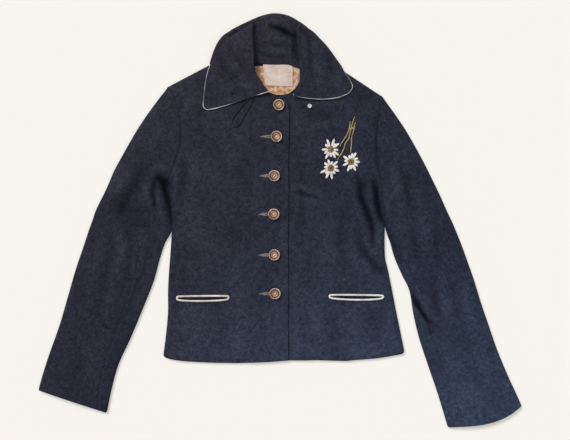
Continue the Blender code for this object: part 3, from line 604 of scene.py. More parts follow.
# The levels of the laid-out jacket, from the floor up.
clothWall = 1.8
collarWall = 2.6
seamGap = 0.3
skin = clothWall / 2
backMiddle = skin
seamMiddle = clothWall + seamGap + skin
loftMiddle = 5.4
lapMiddle = seamMiddle + clothWall + seamGap
lapLines = {"start": -46, "end": 19.5, "slope": 15}

# Rows of each front, shoulder to hem: armhole or side seam x and y, then front edge x and y.
frontRightRows = [
    (-201.5, 243, 8, 225),
    (-194.5, 226.5, 14.6, 214),
    (-189.5, 213.5, 17.2, 199.5),
    (-183.5, 190.5, 17.5, 178),
    (-181, 167, 17, 155),
    (-181.5, 141.5, 16.5, 130.5),
    (-187.5, 116, 16, 106),
    (-196.5, 90.5, 16, 80.5),
    (-204.5, 67, 16.5, 56),
    (-201, 39.5, 16.5, 28.5),
    (-197.5, 8.5, 16, -0.5),
    (-197, -20.5, 15.5, -29.5),
    (-198.5, -51.5, 15.5, -58.5),
    (-201.5, -91.5, 15.5, -97),
    (-203.5, -128, 15.5, -131.5),
    (-203.5, -166, 15.5, -171.5),
    (-206.7, -204.5, 15.5, -210),
    (-212, -246.5, 16, -256.5),
]
frontLeftRows = [
    (184.7, 225.5, -33, 220.5),
    (184.5, 209.5, -33.5, 209),
    (183, 198, -33.5, 194.5),
    (179, 174.5, -33.5, 169),
    (176.5, 145, -34, 139.5),
    (177.5, 114, -34, 108.5),
    (181, 87, -34, 79.5),
    (185.5, 59.5, -34, 54),
    (189.5, 36, -34, 28.5),
    (191.5, 14, -34, 7),
    (191.5, -11.5, -34, -18.5),
    (191, -37, -34, -44),
    (192, -69.5, -34, -75),
    (197, -91.5, -34, -102.5),
    (204.5, -128, -34, -137),
    (211.5, -164.5, -34, -173.5),
    (219, -200.5, -34, -211.5),
    (226.8, -239, -34, -256.5),
]
rightHem = [
    (-212, -246.5), (-210.8, -249.3), (-207.9, -251.3), (-200, -253.9), (-193.4, -255.4), (-178.8, -257.4),
    (-164.3, -258.6), (-149.7, -259.4), (-120.6, -260.7), (-77, -261.3), (-48, -260.5), (-18.7, -259.3),
    (16, -256.5),
]
leftHem = [
    (-34, -256.5), (48, -256.5), (69, -256), (97.8, -256.9), (120, -257.6), (141.5, -255.5), (170.6, -253.4),
    (185.2, -251.5), (199.7, -249.1), (214.3, -246.6), (222.5, -244.8), (225.6, -242.7), (226.8, -239),
]
necks = {
    "right": (-76, 309),
    "rightBend": (-68.5, 225),
    "left": (62.5, 306.5),
    "leftBend": (69.5, 221.5),
    "back": [
        (-76, 309), (-62, 296), (-48.5, 289), (-28, 284), (-7, 282.5), (15, 284), (35, 289), (50, 295),
        (62.5, 306.5),
    ],
}
frontSizes = {
    "rows": 236,
    "columns": 128,
    "neckShare": 0.52,
    "edgeFall": 6,
    "hemFall": 9,
    "armholes": 9,
    "hemTurn": 32,
    "hemStep": 0.3,
    "turnEase": 1.5,
    "armholeRise": 0.45,
    "armholeSeam": (0.5, 2.2),
    "lapSlope": 18,
    "lapCalm": (-60, 30, 0.65),
    "lapEdge": 0.25,
}

rightFrontFolds = [
    ([(-176, 120), (-172, 84), (-180, 40)], 7, 10, -1.3),
    ([(-160, 110), (-156, 60), (-168, 0)], 12, 12, 1.0),
    ([(-188, 96), (-189, 60), (-190, 10)], 4, 5, 1.4),
    ([(-150, 228), (-166, 206), (-176, 176)], 9, 10, 0.8),
    ([(-120, 232), (-138, 190), (-146, 150)], 14, 14, -0.7),
    ([(-96, 168), (-92, 90), (-100, 0)], 20, 24, 0.6),
    ([(-64, 150), (-58, 80), (-62, -20)], 18, 16, -0.5),
    ([(-150, 30), (-140, -40), (-146, -110)], 18, 20, 0.7),
    ([(-188, -60), (-178, -120), (-184, -190)], 10, 14, -0.8),
    ([(-150, -164), (-154, -206), (-150, -250)], 12, 14, 0.8),
    ([(-108, -160), (-112, -206), (-106, -250)], 14, 12, -0.7),
    ([(-66, -150), (-70, -206), (-64, -252)], 15, 15, 0.7),
    ([(-30, -120), (-32, -190), (-28, -250)], 8, 9, -0.4),
    ([(-38, 205), (-30, 196), (-12, 190)], 5, 6, 0.7),
    ([(-30, 196), (-20, 186), (-2, 182)], 5, 5, -0.5),
]
leftFrontFolds = [
    # the deep drags below the arm
    ([(171, 76), (175, 50), (178, 28), (184, 6), (190, -6)], 6.5, 6, -3.6),
    ([(142, 80), (147, 46), (156, 22), (165, 0), (169, -24), (167, -52)], 6, 8, -3.0),
    ([(160, 58), (166, 34), (173, 6)], 7, 6, 1.6),
    ([(152, 74), (157, 50)], 8, 8, -0.8),
    ([(130, 58), (138, 26), (148, 0)], 10, 9, 0.9),
    ([(138, -18), (148, -50), (164, -71), (188, -102)], 7, 6, -1.6),
    ([(152, -30), (164, -54), (180, -78)], 9, 9, 1.2),
    ([(124, -30), (134, -58), (150, -88), (172, -116)], 12, 11, 0.9),
    ([(178, -22), (182, -48), (186, -70)], 7, 7, 0.7),
    # the breast
    ([(24, 50), (40, 49), (60, 42), (74, 35)], 4, 5, -1.2),
    ([(24, 60), (42, 58), (64, 50)], 7, 6, 0.9),
    ([(30, 40), (50, 38), (70, 28)], 6, 6, 0.8),
    ([(56, 190), (84, 188), (112, 192)], 9, 7, -1.0),
    ([(40, 176), (70, 170), (100, 172)], 10, 9, 0.6),
    ([(120, 206), (140, 190), (156, 160)], 12, 10, 0.8),
    ([(66, 140), (60, 90), (66, 20)], 16, 14, 0.6),
    ([(44, 130), (40, 80), (44, 0)], 9, 10, -0.6),
    ([(92, 30), (88, -40), (96, -120)], 18, 18, 0.6),
    ([(116, 20), (112, -30), (118, -90)], 12, 12, -0.8),
    # the skirt
    ([(62, -150), (66, -200), (62, -250)], 13, 13, 0.7),
    ([(96, -160), (100, -206), (96, -250)], 12, 12, -0.8),
    ([(132, -158), (138, -204), (136, -246)], 13, 13, 0.9),
    ([(168, -154), (176, -200), (180, -240)], 11, 12, -0.8),
    ([(196, -150), (206, -196), (214, -232)], 8, 8, 0.6),
]


def seamPaths(rows, neck):
    armholes = frontSizes["armholes"]
    return {
        "armhole": [tuple(p[:2]) for p in throughPoints(rows, np.linspace(0, armholes, 40))],
        "side": [tuple(p[:2]) for p in throughPoints(rows, np.linspace(armholes - 0.5, len(rows) - 1, 50))],
        "shoulder": [rows[0][:2], neck],
    }


rightSeams = seamPaths(frontRightRows, necks["right"])
leftSeams = seamPaths(frontLeftRows, necks["left"])


def frontShare(x, y, seams, hem):  # how far the cloth has risen from its seams
    fall, away = frontSizes["edgeFall"], nearPath(hem, x, y)[0]
    side, armhole, shoulder = (nearPath(seams[seam], x, y)[0] for seam in ("side", "armhole", "shoulder"))
    share = np.minimum(quarterRound(side, fall + 3), quarterRound(shoulder, fall + 3))
    share = np.minimum(share, mix(frontSizes["armholeRise"], 1, quarterRound(armhole, fall)))
    share = np.minimum(share, quarterRound(away, frontSizes["hemFall"]))
    turned = frontSizes["hemStep"] * ease((frontSizes["hemTurn"] - away) / frontSizes["turnEase"])
    return share, turned


def rightFrontLevels(x, y):
    slope = frontSizes["lapSlope"]
    floor = mix(seamMiddle, lapMiddle, ease((x - lapLines["start"] + slope) / slope))
    share, turned = frontShare(x, y, rightSeams, rightHem)
    start, across, amount = frontSizes["lapCalm"]
    calm = 1 - amount * ease((x - start) / across)  # the buttoned lap lies flatter
    slack = foldRelief(x, y, rightFrontFolds, 11) + softGround(x, y, 30)
    deep, reach = frontSizes["armholeSeam"]
    slack -= deep * np.exp(-((nearPath(rightSeams["armhole"], x, y)[0] / reach) ** 2))
    slack *= share * calm
    edge = frontSizes["lapEdge"] * ease((x - 12.5) / 3)
    return np.maximum(mix(floor, loftMiddle + turned, share) + slack + edge, floor), slack


def leftFrontLevels(x, y):
    share, turned = frontShare(x, y, leftSeams, leftHem)
    share = share * ease((x - lapLines["end"]) / lapLines["slope"])
    slack = foldRelief(x, y, leftFrontFolds, 17) + softGround(x, y, 40)
    slack *= share
    return np.maximum(mix(seamMiddle, loftMiddle + turned, share) + slack, seamMiddle), slack


def bend(start, control, end, share):
    share = np.asarray(share)[:, None]
    start, control, end = (np.array(p, float) for p in (start, control, end))
    return (1 - share) ** 2 * start + 2 * share * (1 - share) * control + share**2 * end


def fillEdges(left, right, top, bottom, down, across):  # the ground inside four edges
    u, v = across[None, :, None], down[:, None, None]
    corners = mix(mix(left[0], right[0], u), mix(left[-1], right[-1], u), v)
    return mix(left[:, None], right[:, None], u) + mix(top[None], bottom[None], v) - corners


def frontPlan(rows, neck, neckBend, hem):
    edgeLevels = np.array([row[3] for row in rows])
    shares = withRims(frontSizes["rows"], edgeLevels[0] - edgeLevels[-1])
    at = np.interp(mix(edgeLevels[0], edgeLevels[-1], shares), edgeLevels[::-1], np.arange(len(rows))[::-1])
    table = throughPoints(rows, at)
    left, right = table[:, :2], table[:, 2:]
    across = withRims(frontSizes["columns"], 225, 62, 1.9)
    neckShare = frontSizes["neckShare"]
    head = np.where(
        (across <= neckShare)[:, None],
        mix(left[0], np.array(neck), (across / neckShare)[:, None]),
        bend(neck, neckBend, right[0], np.clip((across - neckShare) / (1 - neckShare), 0, 1)),
    )
    feetX = mix(left[-1, 0], right[-1, 0], across)
    feet = np.stack([feetX, np.interp(feetX, *zip(*hem))], 1)
    return fillEdges(left, right, head, feet, shares, across)


# Each pocket is a slit with a straight upper lip and a sagging lower one.
pockets = {
    "right": {"x": -140, "y": -141, "half": 47, "rise": 2.2, "sag": 7, "tilt": 0.01, "end": 0.42},
    "left": {"x": 139.5, "y": -139.5, "half": 49, "rise": 2.6, "sag": 6.2, "tilt": -0.01, "end": 0.2},
}
slitSizes = {"inset": 1.1, "upperBlunt": 0.12, "lowerBlunt": 0.42}


def slitLips(pocket, x, inset):
    run = np.clip(np.abs(x - pocket["x"]) / (pocket["half"] - inset), 0, 1)
    base = pocket["y"] + (x - pocket["x"]) * pocket["tilt"]
    upper = base + (pocket["rise"] - inset) * (1 - run**2) ** slitSizes["upperBlunt"]
    sag = mix(pocket["end"], 1, (1 - run**2) ** slitSizes["lowerBlunt"])
    return upper, base - (pocket["sag"] - inset) * sag


def openSlit(plan, pocket):  # moves the nearest rows onto the slit's lips, and tells which cells fall out
    x, y = plan[..., 0], plan[..., 1]
    gone = np.zeros((plan.shape[0] - 1, plan.shape[1] - 1), bool)
    upperRow, lowerRow = np.full(plan.shape[1], -1), np.full(plan.shape[1], -1)
    for c in range(plan.shape[1]):
        upper, lower = slitLips(pocket, x[:, c], slitSizes["inset"])
        near, far = np.argmin(np.abs(y[:, c] - upper)), np.argmin(np.abs(y[:, c] - lower))
        if abs(x[near, c] - pocket["x"]) < pocket["half"] - 2.5 and near != far:
            y[near, c], y[far, c] = upper[near], lower[far]
            upperRow[c], lowerRow[c] = min(near, far), max(near, far)
    for c in range(plan.shape[1] - 1):
        if upperRow[c] >= 0 and upperRow[c + 1] >= 0:
            gone[max(upperRow[c], upperRow[c + 1]) : min(lowerRow[c], lowerRow[c + 1]), c] = True
    return gone


def makeFront(name, rows, neck, neckBend, hem, levelsOf, pocket):
    plan = frontPlan(rows, neck, neckBend, hem)
    gone = openSlit(plan, pocket)
    level, slack = levelsOf(plan[..., 0], plan[..., 1])
    quads = gridQuads(*plan.shape[:2])[~gone.ravel()]
    if rows[0][0] < 0:
        quads = quads[:, ::-1]
    full = rimmed(*plan.shape[:2])
    return clothShell(name, raised(plan, level), quads, clothWall, loden, full, True, slack=slack)


fronts = {
    "right": (frontRightRows, rightHem, rightFrontLevels, (0.229, 0.573), 0.1045, ["back", "front_left"]),
    "left": (frontLeftRows, leftHem, leftFrontLevels, (0.26, 0.566), 0.1185, ["back"]),
}
for side, (rows, hem, levelsOf, flat, area, restsOn) in fronts.items():
    neck, neckBend = necks[side], necks[side + "Bend"]
    cloth = makeFront("front%sCloth" % side.title(), rows, neck, neckBend, hem, levelsOf, pockets[side])
    dress(cloth, "loden", "front_" + side)
    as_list(restsOn)
print("fronts cut and laid")

backSizes = {"rows": 84, "columns": 70, "long": 497, "wide": 400, "neckShares": (0.31, 0.67), "hemLift": 1}


def makeBack():
    shares = withRims(backSizes["rows"], backSizes["long"])
    at = shares * (len(frontRightRows) - 1)
    left = throughPoints(frontRightRows, at)[:, :2]
    right = throughPoints(frontLeftRows, at)[:, :2]
    across = withRims(backSizes["columns"], backSizes["wide"])
    neck = np.array(necks["back"], float)
    first, last = backSizes["neckShares"]
    head = np.zeros((len(across), 2))
    for i, share in enumerate(across):
        if share < first:
            head[i] = mix(left[0], neck[0], share / first)
        elif share > last:
            head[i] = mix(neck[-1], right[0], (share - last) / (1 - last))
        else:
            head[i] = throughPoints(neck, (share - first) / (last - first) * (len(neck) - 1))
    feetX = mix(left[-1, 0], right[-1, 0], across)
    feet = np.stack([feetX, np.interp(feetX, *zip(*(rightHem[:-1] + leftHem[1:]))) + backSizes["hemLift"]], 1)
    plan = fillEdges(left, right, head, feet, shares, across)
    return layPatch("backCloth", plan, backMiddle, clothWall, loden)


back = dress(makeBack(), "loden", "back")
print("back cut and laid")

# Sections of each sleeve: outer fold x and y, then armhole or inner fold x and y.
sleeveRightSections = [
    (-202.2, 242.6, -200.6, 240.6),
    (-209.3, 232.4, -196.2, 230.5),
    (-216.5, 223.7, -189.5, 213.5),
    (-229, 207, -183.5, 190.5),
    (-242.7, 188, -181, 167),
    (-259.2, 163, -181.5, 141.5),
    (-275.2, 135.6, -187.5, 116),
    (-288.3, 112, -196.5, 90.5),
    (-300, 90.5, -203.9, 67),
    (-316, 54, -200.6, 30.5),
    (-333.5, 18.5, -197.4, -0.5),
    (-340, -0.5, -197.6, -20.5),
    (-347.3, -20.5, -209.5, -42.5),
    (-357.5, -51.5, -219.2, -71.5),
    (-371, -91.5, -230.2, -111.5),
    (-385.2, -140.5, -247.6, -156),
    (-400, -191.5, -272.2, -215),
    (-419.3, -246, -294.7, -264.5),
    (-431.3, -283.5, -307.2, -310),
    (-438.8, -310.5, -315.5, -351.5),
]
sleeveLeftSections = [
    (184.9, 225.6, 184.5, 221.5),
    (194.6, 212, 184.3, 209.5),
    (203.9, 199.2, 183, 198),
    (216.4, 181.3, 179, 174.5),
    (228.8, 162.4, 176.5, 145),
    (243.2, 137.8, 177.5, 114),
    (256, 114.5, 181, 87),
    (267.9, 91.8, 185.5, 59.5),
    (280.5, 66, 189, 36),
    (291.5, 43, 190.4, 14),
    (303.5, 16, 191.4, -7.5),
    (313.5, -5, 196.8, -28),
    (320, -20.5, 201.5, -40.5),
    (331, -48, 210, -69.5),
    (342, -78.5, 223.5, -100.5),
    (352.8, -109.5, 237, -129.5),
    (365.7, -151.5, 244.5, -173.5),
    (380, -193.5, 254.8, -216),
    (395.9, -239, 271.2, -266),
    (414.9, -284.5, 286.8, -311.5),
    (427.8, -312.5, 297.6, -346.5),
    (440.3, -340.3, 307, -378.5),
]
sleeveRightFolds = [
    # under the arm
    ([(-222, 80), (-213, 67), (-209, 54), (-204, 34), (-201, 14)], 5.5, 5, -3.6),
    ([(-219, 77), (-209, 71), (-200, 64)], 7, 6, -2.0),
    ([(-232, 78), (-222, 92), (-204, 92)], 8, 6, 2.2),
    ([(-223, 76), (-229, 64), (-231, 44), (-226, 18)], 5, 4.5, -1.6),
    ([(-219, 56), (-217, 28), (-209, -4)], 6, 6, 1.9),
    ([(-240, 84), (-244, 56), (-240, 26)], 9, 8, 0.9),
    # the bent elbow
    ([(-242, 104), (-259, 72), (-278, 38), (-296, 10)], 15, 13, -1.5),
    ([(-298, 17), (-280, 11)], 9, 8, -0.7),
    ([(-290, 16), (-254, 15), (-226, 21)], 6, 6, -0.6),
    ([(-282, 4), (-256, 5), (-236, 5)], 7, 7, 0.6),
    ([(-296, -7), (-256, -7), (-222, -11)], 9, 8, -0.8),
    ([(-279, -10), (-272, -48)], 11, 10, -0.9),
    ([(-252, -16), (-250, -52)], 9, 8, 0.9),
    ([(-300, 46), (-286, 66), (-268, 84)], 12, 10, 1.2),
    ([(-296, -20), (-288, -60), (-300, -100)], 9, 9, 1.0),
    # down the forearm
    ([(-312, -14), (-305, -50), (-318, -104), (-329, -150), (-327, -190)], 10, 10, -0.9),
    ([(-328, -10), (-326, -56), (-340, -120), (-352, -190)], 14, 13, 0.9),
    ([(-302, -100), (-308, -140), (-310, -186)], 10, 10, 0.8),
    ([(-272, -50), (-276, -90), (-290, -140)], 8, 8, -0.8),
    ([(-322, -188), (-317, -194), (-310, -200)], 2.6, 2.6, -1.2),
    ([(-324, -196), (-318, -203), (-309, -210)], 3, 3, 0.9),
    ([(-404, -270), (-398, -275), (-391, -281)], 3, 3, 0.8),
    ([(-360, -236), (-366, -262), (-376, -290)], 12, 12, -0.9),
    ([(-336, -240), (-344, -276), (-352, -310)], 10, 10, 0.8),
    ([(-300, 116), (-296, 92), (-308, 56)], 9, 9, 1.0),
    ([(-264, 130), (-252, 122), (-238, 120)], 5, 5, -0.7),
    ([(-226, 190), (-222, 160), (-232, 128)], 9, 10, 0.8),
]
sleeveLeftFolds = [
    ([(199, 46), (197, 20), (199, -6), (206, -34)], 6, 5, 1.3),
    ([(220, 104), (221, 88), (220, 72)], 5, 5, -0.8),
    ([(224, 108), (230, 60), (238, 14)], 9, 8, -1.2),
    ([(212, 104), (216, 60), (222, 10)], 10, 8, 1.1),
    ([(250, 60), (262, 10), (274, -50)], 12, 12, 1.2),
    ([(236, 0), (246, -44), (254, -84)], 8, 9, -1.1),
    ([(280, -6), (286, -50), (290, -90)], 9, 9, -0.9),
    # the bent elbow
    ([(241, -134), (250, -154), (264, -176), (274, -186)], 3.4, 4.5, -3.4),
    ([(250, -124), (262, -148), (278, -172), (292, -186)], 7, 6, 1.8),
    ([(242, -152), (252, -174), (262, -196)], 6, 5, 1.9),
    ([(276, -190), (274, -200), (268, -212)], 7, 6, -1.2),
    ([(277, -106), (282, -134), (286, -172), (288, -200)], 8, 8, -0.8),
    ([(292, -100), (300, -140), (306, -196)], 10, 10, 0.8),
    ([(312, -104), (320, -150), (324, -190)], 10, 11, -0.8),
    ([(330, -100), (344, -160), (356, -210)], 11, 11, 1.0),
    ([(334, -200), (344, -230), (352, -250)], 10, 10, -0.8),
    ([(296, -210), (310, -260), (330, -310)], 14, 14, 0.9),
    ([(340, -240), (362, -290), (380, -330)], 12, 13, -0.7),
]
sleeveSizes = {
    "rows": 268,
    "top": 78,
    "under": 22,
    "round": 11,
    "underRound": 4.5,
    "dome": 2.4,
    "seamDepth": 0.8,
    "seamReach": 1.2,
    "cuffTurn": 30,
    "cuffStep": 0.35,
    "cuffCorner": 4,
    "cuffBow": (1.35, 0.65),
    "topCrowd": 0.45,
    "pucker": (0.5, 1.3, 2, 6),
    "seamLip": (0.35, 3.4, 2.2),
    "armholeCap": (0.5, 4.5),
    "underGap": 0.5,
}


def makeSleeve(name, sections, folds, under, bow, turn, seamShares, seed):
    last = len(sections) - 1
    table = np.array(sections, float)
    middles = (table[:, :2] + table[:, 2:]) / 2
    run = runAlong(middles)
    down = withRims(sleeveSizes["rows"], run[-1])
    at = np.interp(down * run[-1], run, np.arange(last + 1))
    underRow = int(np.argmin(np.abs(at - under)))
    at[underRow] = under
    curves = throughPoints(table, at)
    outer, inner = curves[:, None, :2], curves[:, None, 2:]
    away = (inner - outer) / np.linalg.norm(inner - outer, axis=-1, keepdims=True)
    corner = sleeveSizes["cuffCorner"]
    tuck = corner - np.sqrt(corner**2 - np.clip(corner - (1 - down) * run[-1], 0, corner) ** 2)
    outer, inner = outer + away * tuck[:, None, None], inner - away * tuck[:, None, None]
    width = np.linalg.norm(inner - outer, axis=-1)
    outerPath = throughPoints(table, np.linspace(0, last, 90))[:, :2]
    armhole = throughPoints(table, np.linspace(0, under, 40))[:, 2:]
    innerPath = throughPoints(table, np.linspace(under, last, 70))[:, 2:]
    spots = np.linspace(0, 1, sleeveSizes["top"])
    topShares = mix(spots, np.sin(spots * math.pi / 2) ** 2, sleeveSizes["topCrowd"])
    underShares = np.sin(np.linspace(0, 1, sleeveSizes["under"]) * math.pi / 2) ** 2
    across = (inner - outer) / width[..., None]
    hang = np.stack([across[..., 1], -across[..., 0]], -1)
    hang = np.where(hang[..., 1:] > 0, -hang, hang)
    sag = bow * ease((at - last + 3.2) / 3.2)[:, None, None]

    def planOf(shares):
        shares = np.broadcast_to(shares, (len(at), shares.shape[-1]))[..., None]
        bowed = 4 * shares * (1 - shares) * mix(*sleeveSizes["cuffBow"], shares)
        return outer + (inner - outer) * shares + hang * sag * bowed

    def levels(place, topSide):
        x, y = place[..., 0], place[..., 1]
        shares = np.clip(np.linalg.norm(place - outer, axis=-1) / width, 0, 1)
        dome = sleeveSizes["dome"] * 4 * shares * (1 - shares) * ease((at - 2) / 6)[:, None]
        slack = foldRelief(x, y, folds, seed) + softGround(x, y, seed, turn, 1.7, 1.15)
        toCuff = ((1 - down) * run[-1])[:, None]
        turned = sleeveSizes["cuffStep"] * ease((sleeveSizes["cuffTurn"] - toCuff) / 1.5)
        off = (shares - np.interp(at, *zip(*seamShares))[:, None]) * width
        shown = ease((at - seamShares[0][0]) / 0.6)[:, None]
        strength, close, stray, size = sleeveSizes["pucker"]
        pucker = 1 + strength * np.sin(y * close + stray * unevenness(x, y, size, seed))
        lip, lipAt, lipReach = sleeveSizes["seamLip"]
        seam = np.exp(-((off / sleeveSizes["seamReach"]) ** 2))
        seam -= lip * np.exp(-(((off - lipAt) / lipReach) ** 2))
        slack = slack - sleeveSizes["seamDepth"] * seam * pucker * shown
        top = np.maximum(loftMiddle + dome + turned + slack, backMiddle + clothWall + sleeveSizes["underGap"])
        nearFold = np.minimum(nearPath(outerPath, x, y)[0], nearPath(innerPath, x, y)[0])
        full = quarterRound(nearFold, sleeveSizes["round"] if topSide else sleeveSizes["underRound"])
        capLow, capReach = sleeveSizes["armholeCap"]
        cap = mix(capLow, 1, quarterRound(nearPath(armhole, x, y)[0], capReach))
        half = (top - backMiddle) / 2
        if topSide:
            return backMiddle + half * (1 + full * cap), slack * full * cap
        return backMiddle + half * (1 - full), slack * 0

    topPlan = planOf(topShares[None])
    underPlan = planOf(underShares[None, 1:])
    gap = np.where(np.arange(len(at)) >= underRow, sleeveSizes["underGap"], 0.0)
    underPlan[:, -1] += (outer[:, 0] - inner[:, 0]) / width * gap[:, None]
    topLevel, topSlack = levels(topPlan, True)
    underLevel, underSlack = levels(underPlan, False)
    middle = np.concatenate([raised(topPlan, topLevel)[:, ::-1], raised(underPlan, underLevel)], 1)
    slack = np.concatenate([topSlack[:, ::-1], underSlack], 1)
    rows, columns = middle.shape[:2]
    ends = np.arange(rows * columns).reshape(rows, columns)[underRow:, [0, -1]]
    joined = np.stack([ends[:-1, 1], ends[:-1, 0], ends[1:, 0], ends[1:, 1]], -1)
    quads = np.concatenate([gridQuads(rows, columns), joined])
    full = rimmed(rows, columns, left=False, right=False)
    for i, share in enumerate(rimSizes["fullness"]):
        full[:underRow, i] = np.minimum(full[:underRow, i], share)
        full[:underRow, columns - 1 - i] = np.minimum(full[:underRow, columns - 1 - i], share)
    if sections[0][0] > 0:
        quads = quads[:, ::-1]
    return clothShell(name, middle, quads, clothWall, loden, full, turn=turn, slack=slack)


sleeves = {  # the seam is at these shares across the sleeve, row by row
    "right": {
        "cut": (sleeveRightSections, sleeveRightFolds),
        "underArm": 8,
        "bow": 0.5,
        "turn": -0.28,
        "seam": [(8.6, 0.8), (10, 0.72), (12, 0.72), (14, 0.745), (16, 0.775), (18, 0.83), (19, 0.87)],
        "seed": 50,
        "flat": (0.278, 0.6),
    },
    "left": {
        "cut": (sleeveLeftSections, sleeveLeftFolds),
        "underArm": 9,
        "bow": 13,
        "turn": 0.3,
        "seam": [(9.4, 0.96), (12, 0.9), (15, 0.84), (18, 0.81), (21, 0.79)],
        "seed": 60,
        "flat": (0.272, 0.62),
    },
}
for side, sleeve in sleeves.items():
    more = (sleeve[size] for size in ("underArm", "bow", "turn", "seam", "seed"))
    cloth = makeSleeve("sleeve%sCloth" % side.title(), *sleeve["cut"], *more)
    dress(cloth, "loden", "sleeve_%s_upper" % side, "sleeve_%s_under" % side)
print("sleeves set in")

# Rows of each collar leaf, front end to back: outer edge x and y, then the roll's x, y and height.
leafRightRows = [
    (-139, 199.5, -20.5, 233.5, 13.5),
    (-139, 214, -28, 241.5, 14.5),
    (-137.5, 232.5, -34.5, 252.5, 15.5),
    (-135, 250.5, -42.5, 263.5, 16.5),
    (-131.5, 267, -46, 275.5, 17.2),
    (-127, 280.5, -47, 288, 18),
    (-124, 293.3, -46.5, 301.5, 18.5),
    (-118.8, 308.7, -47.5, 316, 19),
    (-111.2, 323.8, -48.5, 333, 19.5),
    (-100.5, 337, -48.5, 353, 20),
]
leafLeftRows = [
    (132, 234, 24.5, 225, 13.5),
    (132, 242.5, 30.5, 234.5, 14.5),
    (126, 256, 35.5, 245, 15.5),
    (118.6, 266.6, 37, 258, 16.2),
    (113.1, 276.5, 37, 272.5, 16.8),
    (107.1, 285.4, 36, 287, 17.4),
    (99.5, 296.3, 34.5, 301.5, 18),
    (91.4, 307.7, 33, 317, 18.5),
    (81.3, 320.1, 32, 332.5, 19),
    (70.2, 331.4, 32, 344.6, 19.5),
    (62.6, 340.2, 34.4, 353, 19.5),
]
leafFolds = {
    "right": [
        ([(-104, 282), (-88, 264), (-74, 248)], 14, 12, -1.0),
        ([(-88, 302), (-72, 288), (-56, 272)], 11, 12, -0.8),
        ([(-94, 292), (-78, 274), (-60, 258)], 9, 9, 0.9),
        ([(-86, 252), (-66, 246), (-48, 246)], 11, 10, 0.9),
        ([(-124, 240), (-122, 268), (-114, 296)], 8, 10, 0.7),
        ([(-108, 250), (-106, 276), (-98, 304)], 9, 10, -0.7),
        ([(-70, 340), (-74, 320), (-70, 300)], 11, 11, 0.8),
        ([(-92, 322), (-90, 306), (-96, 290)], 8, 8, -0.6),
        ([(-120, 224), (-92, 226), (-60, 238)], 9, 8, -0.6),
    ],
    "left": [
        ([(40, 348), (52, 325), (56, 290), (58, 258)], 6, 6, -1.6),
        ([(44, 330), (46, 306), (46, 276)], 6, 6, 0.9),
        ([(66, 330), (70, 300), (70, 270), (68, 246)], 9, 8, 1.2),
        ([(88, 308), (92, 284), (95, 258), (96, 244)], 8, 8, -0.8),
        ([(100, 290), (106, 268), (108, 250)], 8, 8, 0.7),
        ([(70, 336), (80, 322), (92, 304)], 4, 4, 1.0),
        ([(118, 258), (120, 248), (118, 240)], 4, 4, -0.8),
    ],
}
leafSizes = {
    "rest": loftMiddle + skin + seamGap + 1.4,
    "returnLevel": 8.6,
    "rows": 96,
    "columns": 96,
    "lipPlaces": [(1.6, 1.6), (0.4, 3.4), (0, 5.6)],
    "thinLip": (0.1, (0.3, 0.2, 0.1)),
    "shares": (0.1, 0.28, 0.48, 0.68, 0.86),
    "rise": 1.6,
    "rollDrop": 1.2,
    "rollPlaces": ((2.6, 0.2), (1.2, 1), (1, 3.2)),
    "returnReach": 7,
    "returnRise": 1.25,
    "tuck": (2.6, 0.3),
    "tuckLevel": 4,
    "backCorner": 9,
    "long": 150,
    "wide": 140,
    "lipColumns": 11,
}


def roundedCorner(plan, corner, along, up, radius):  # rounds off the corner where two edges of a plan meet
    basis = np.stack([along / np.linalg.norm(along), up / np.linalg.norm(up)], 1)
    local = (plan - corner) @ np.linalg.inv(basis).T
    a, b = 1 - local[..., 0] / radius, 1 - local[..., 1] / radius
    near = (a > 0) & (b > 0)
    held = [np.where(near, np.clip(v, 0, 1), 0) for v in (a, b)]
    less = [np.sqrt(1 - v**2 / 2) for v in held]
    moved = np.stack([1 - a * less[1], 1 - b * less[0]], -1) * radius
    return np.where(near[..., None], corner + moved @ basis.T, plan)


def leafLine(number, row, lipStart, bow, sag):  # one row: the lip, the edge, the roll and the return
    rest = leafSizes["rest"]
    edge, roll, rollLevel = np.array(row[:2]), np.array(row[2:4]), row[4]
    run = (roll - edge) / np.linalg.norm(roll - edge)
    drop = bow * (1 - float(ease(number / 2)))
    if number < lipStart:  # the lip over the shoulder grows out of the leaf's edge
        reach, depths = leafSizes["thinLip"]
        line = [(*(edge + run * reach), rest - low) for low in depths]
        line.append((*edge, rest))
    else:
        line = [(*(edge + run * (skin + out)), z) for out, z in leafSizes["lipPlaces"]]
        line.append((*(edge + run * skin), rest))
    for share in leafSizes["shares"]:
        spot = mix(edge, roll, share)
        lowered = drop * 4 * share * (1 - share) * mix(*sag, share)
        level = mix(rest, rollLevel - leafSizes["rollDrop"], share ** leafSizes["rise"])
        line.append((spot[0], spot[1] - lowered, level))
    for out, low in leafSizes["rollPlaces"]:
        line.append((*(roll - run * out), rollLevel - low))
    returned = leafSizes["returnLevel"] + leafSizes["returnRise"] * max(0, number - 5)
    line.append((*(roll - run * leafSizes["returnReach"]), returned))
    return line


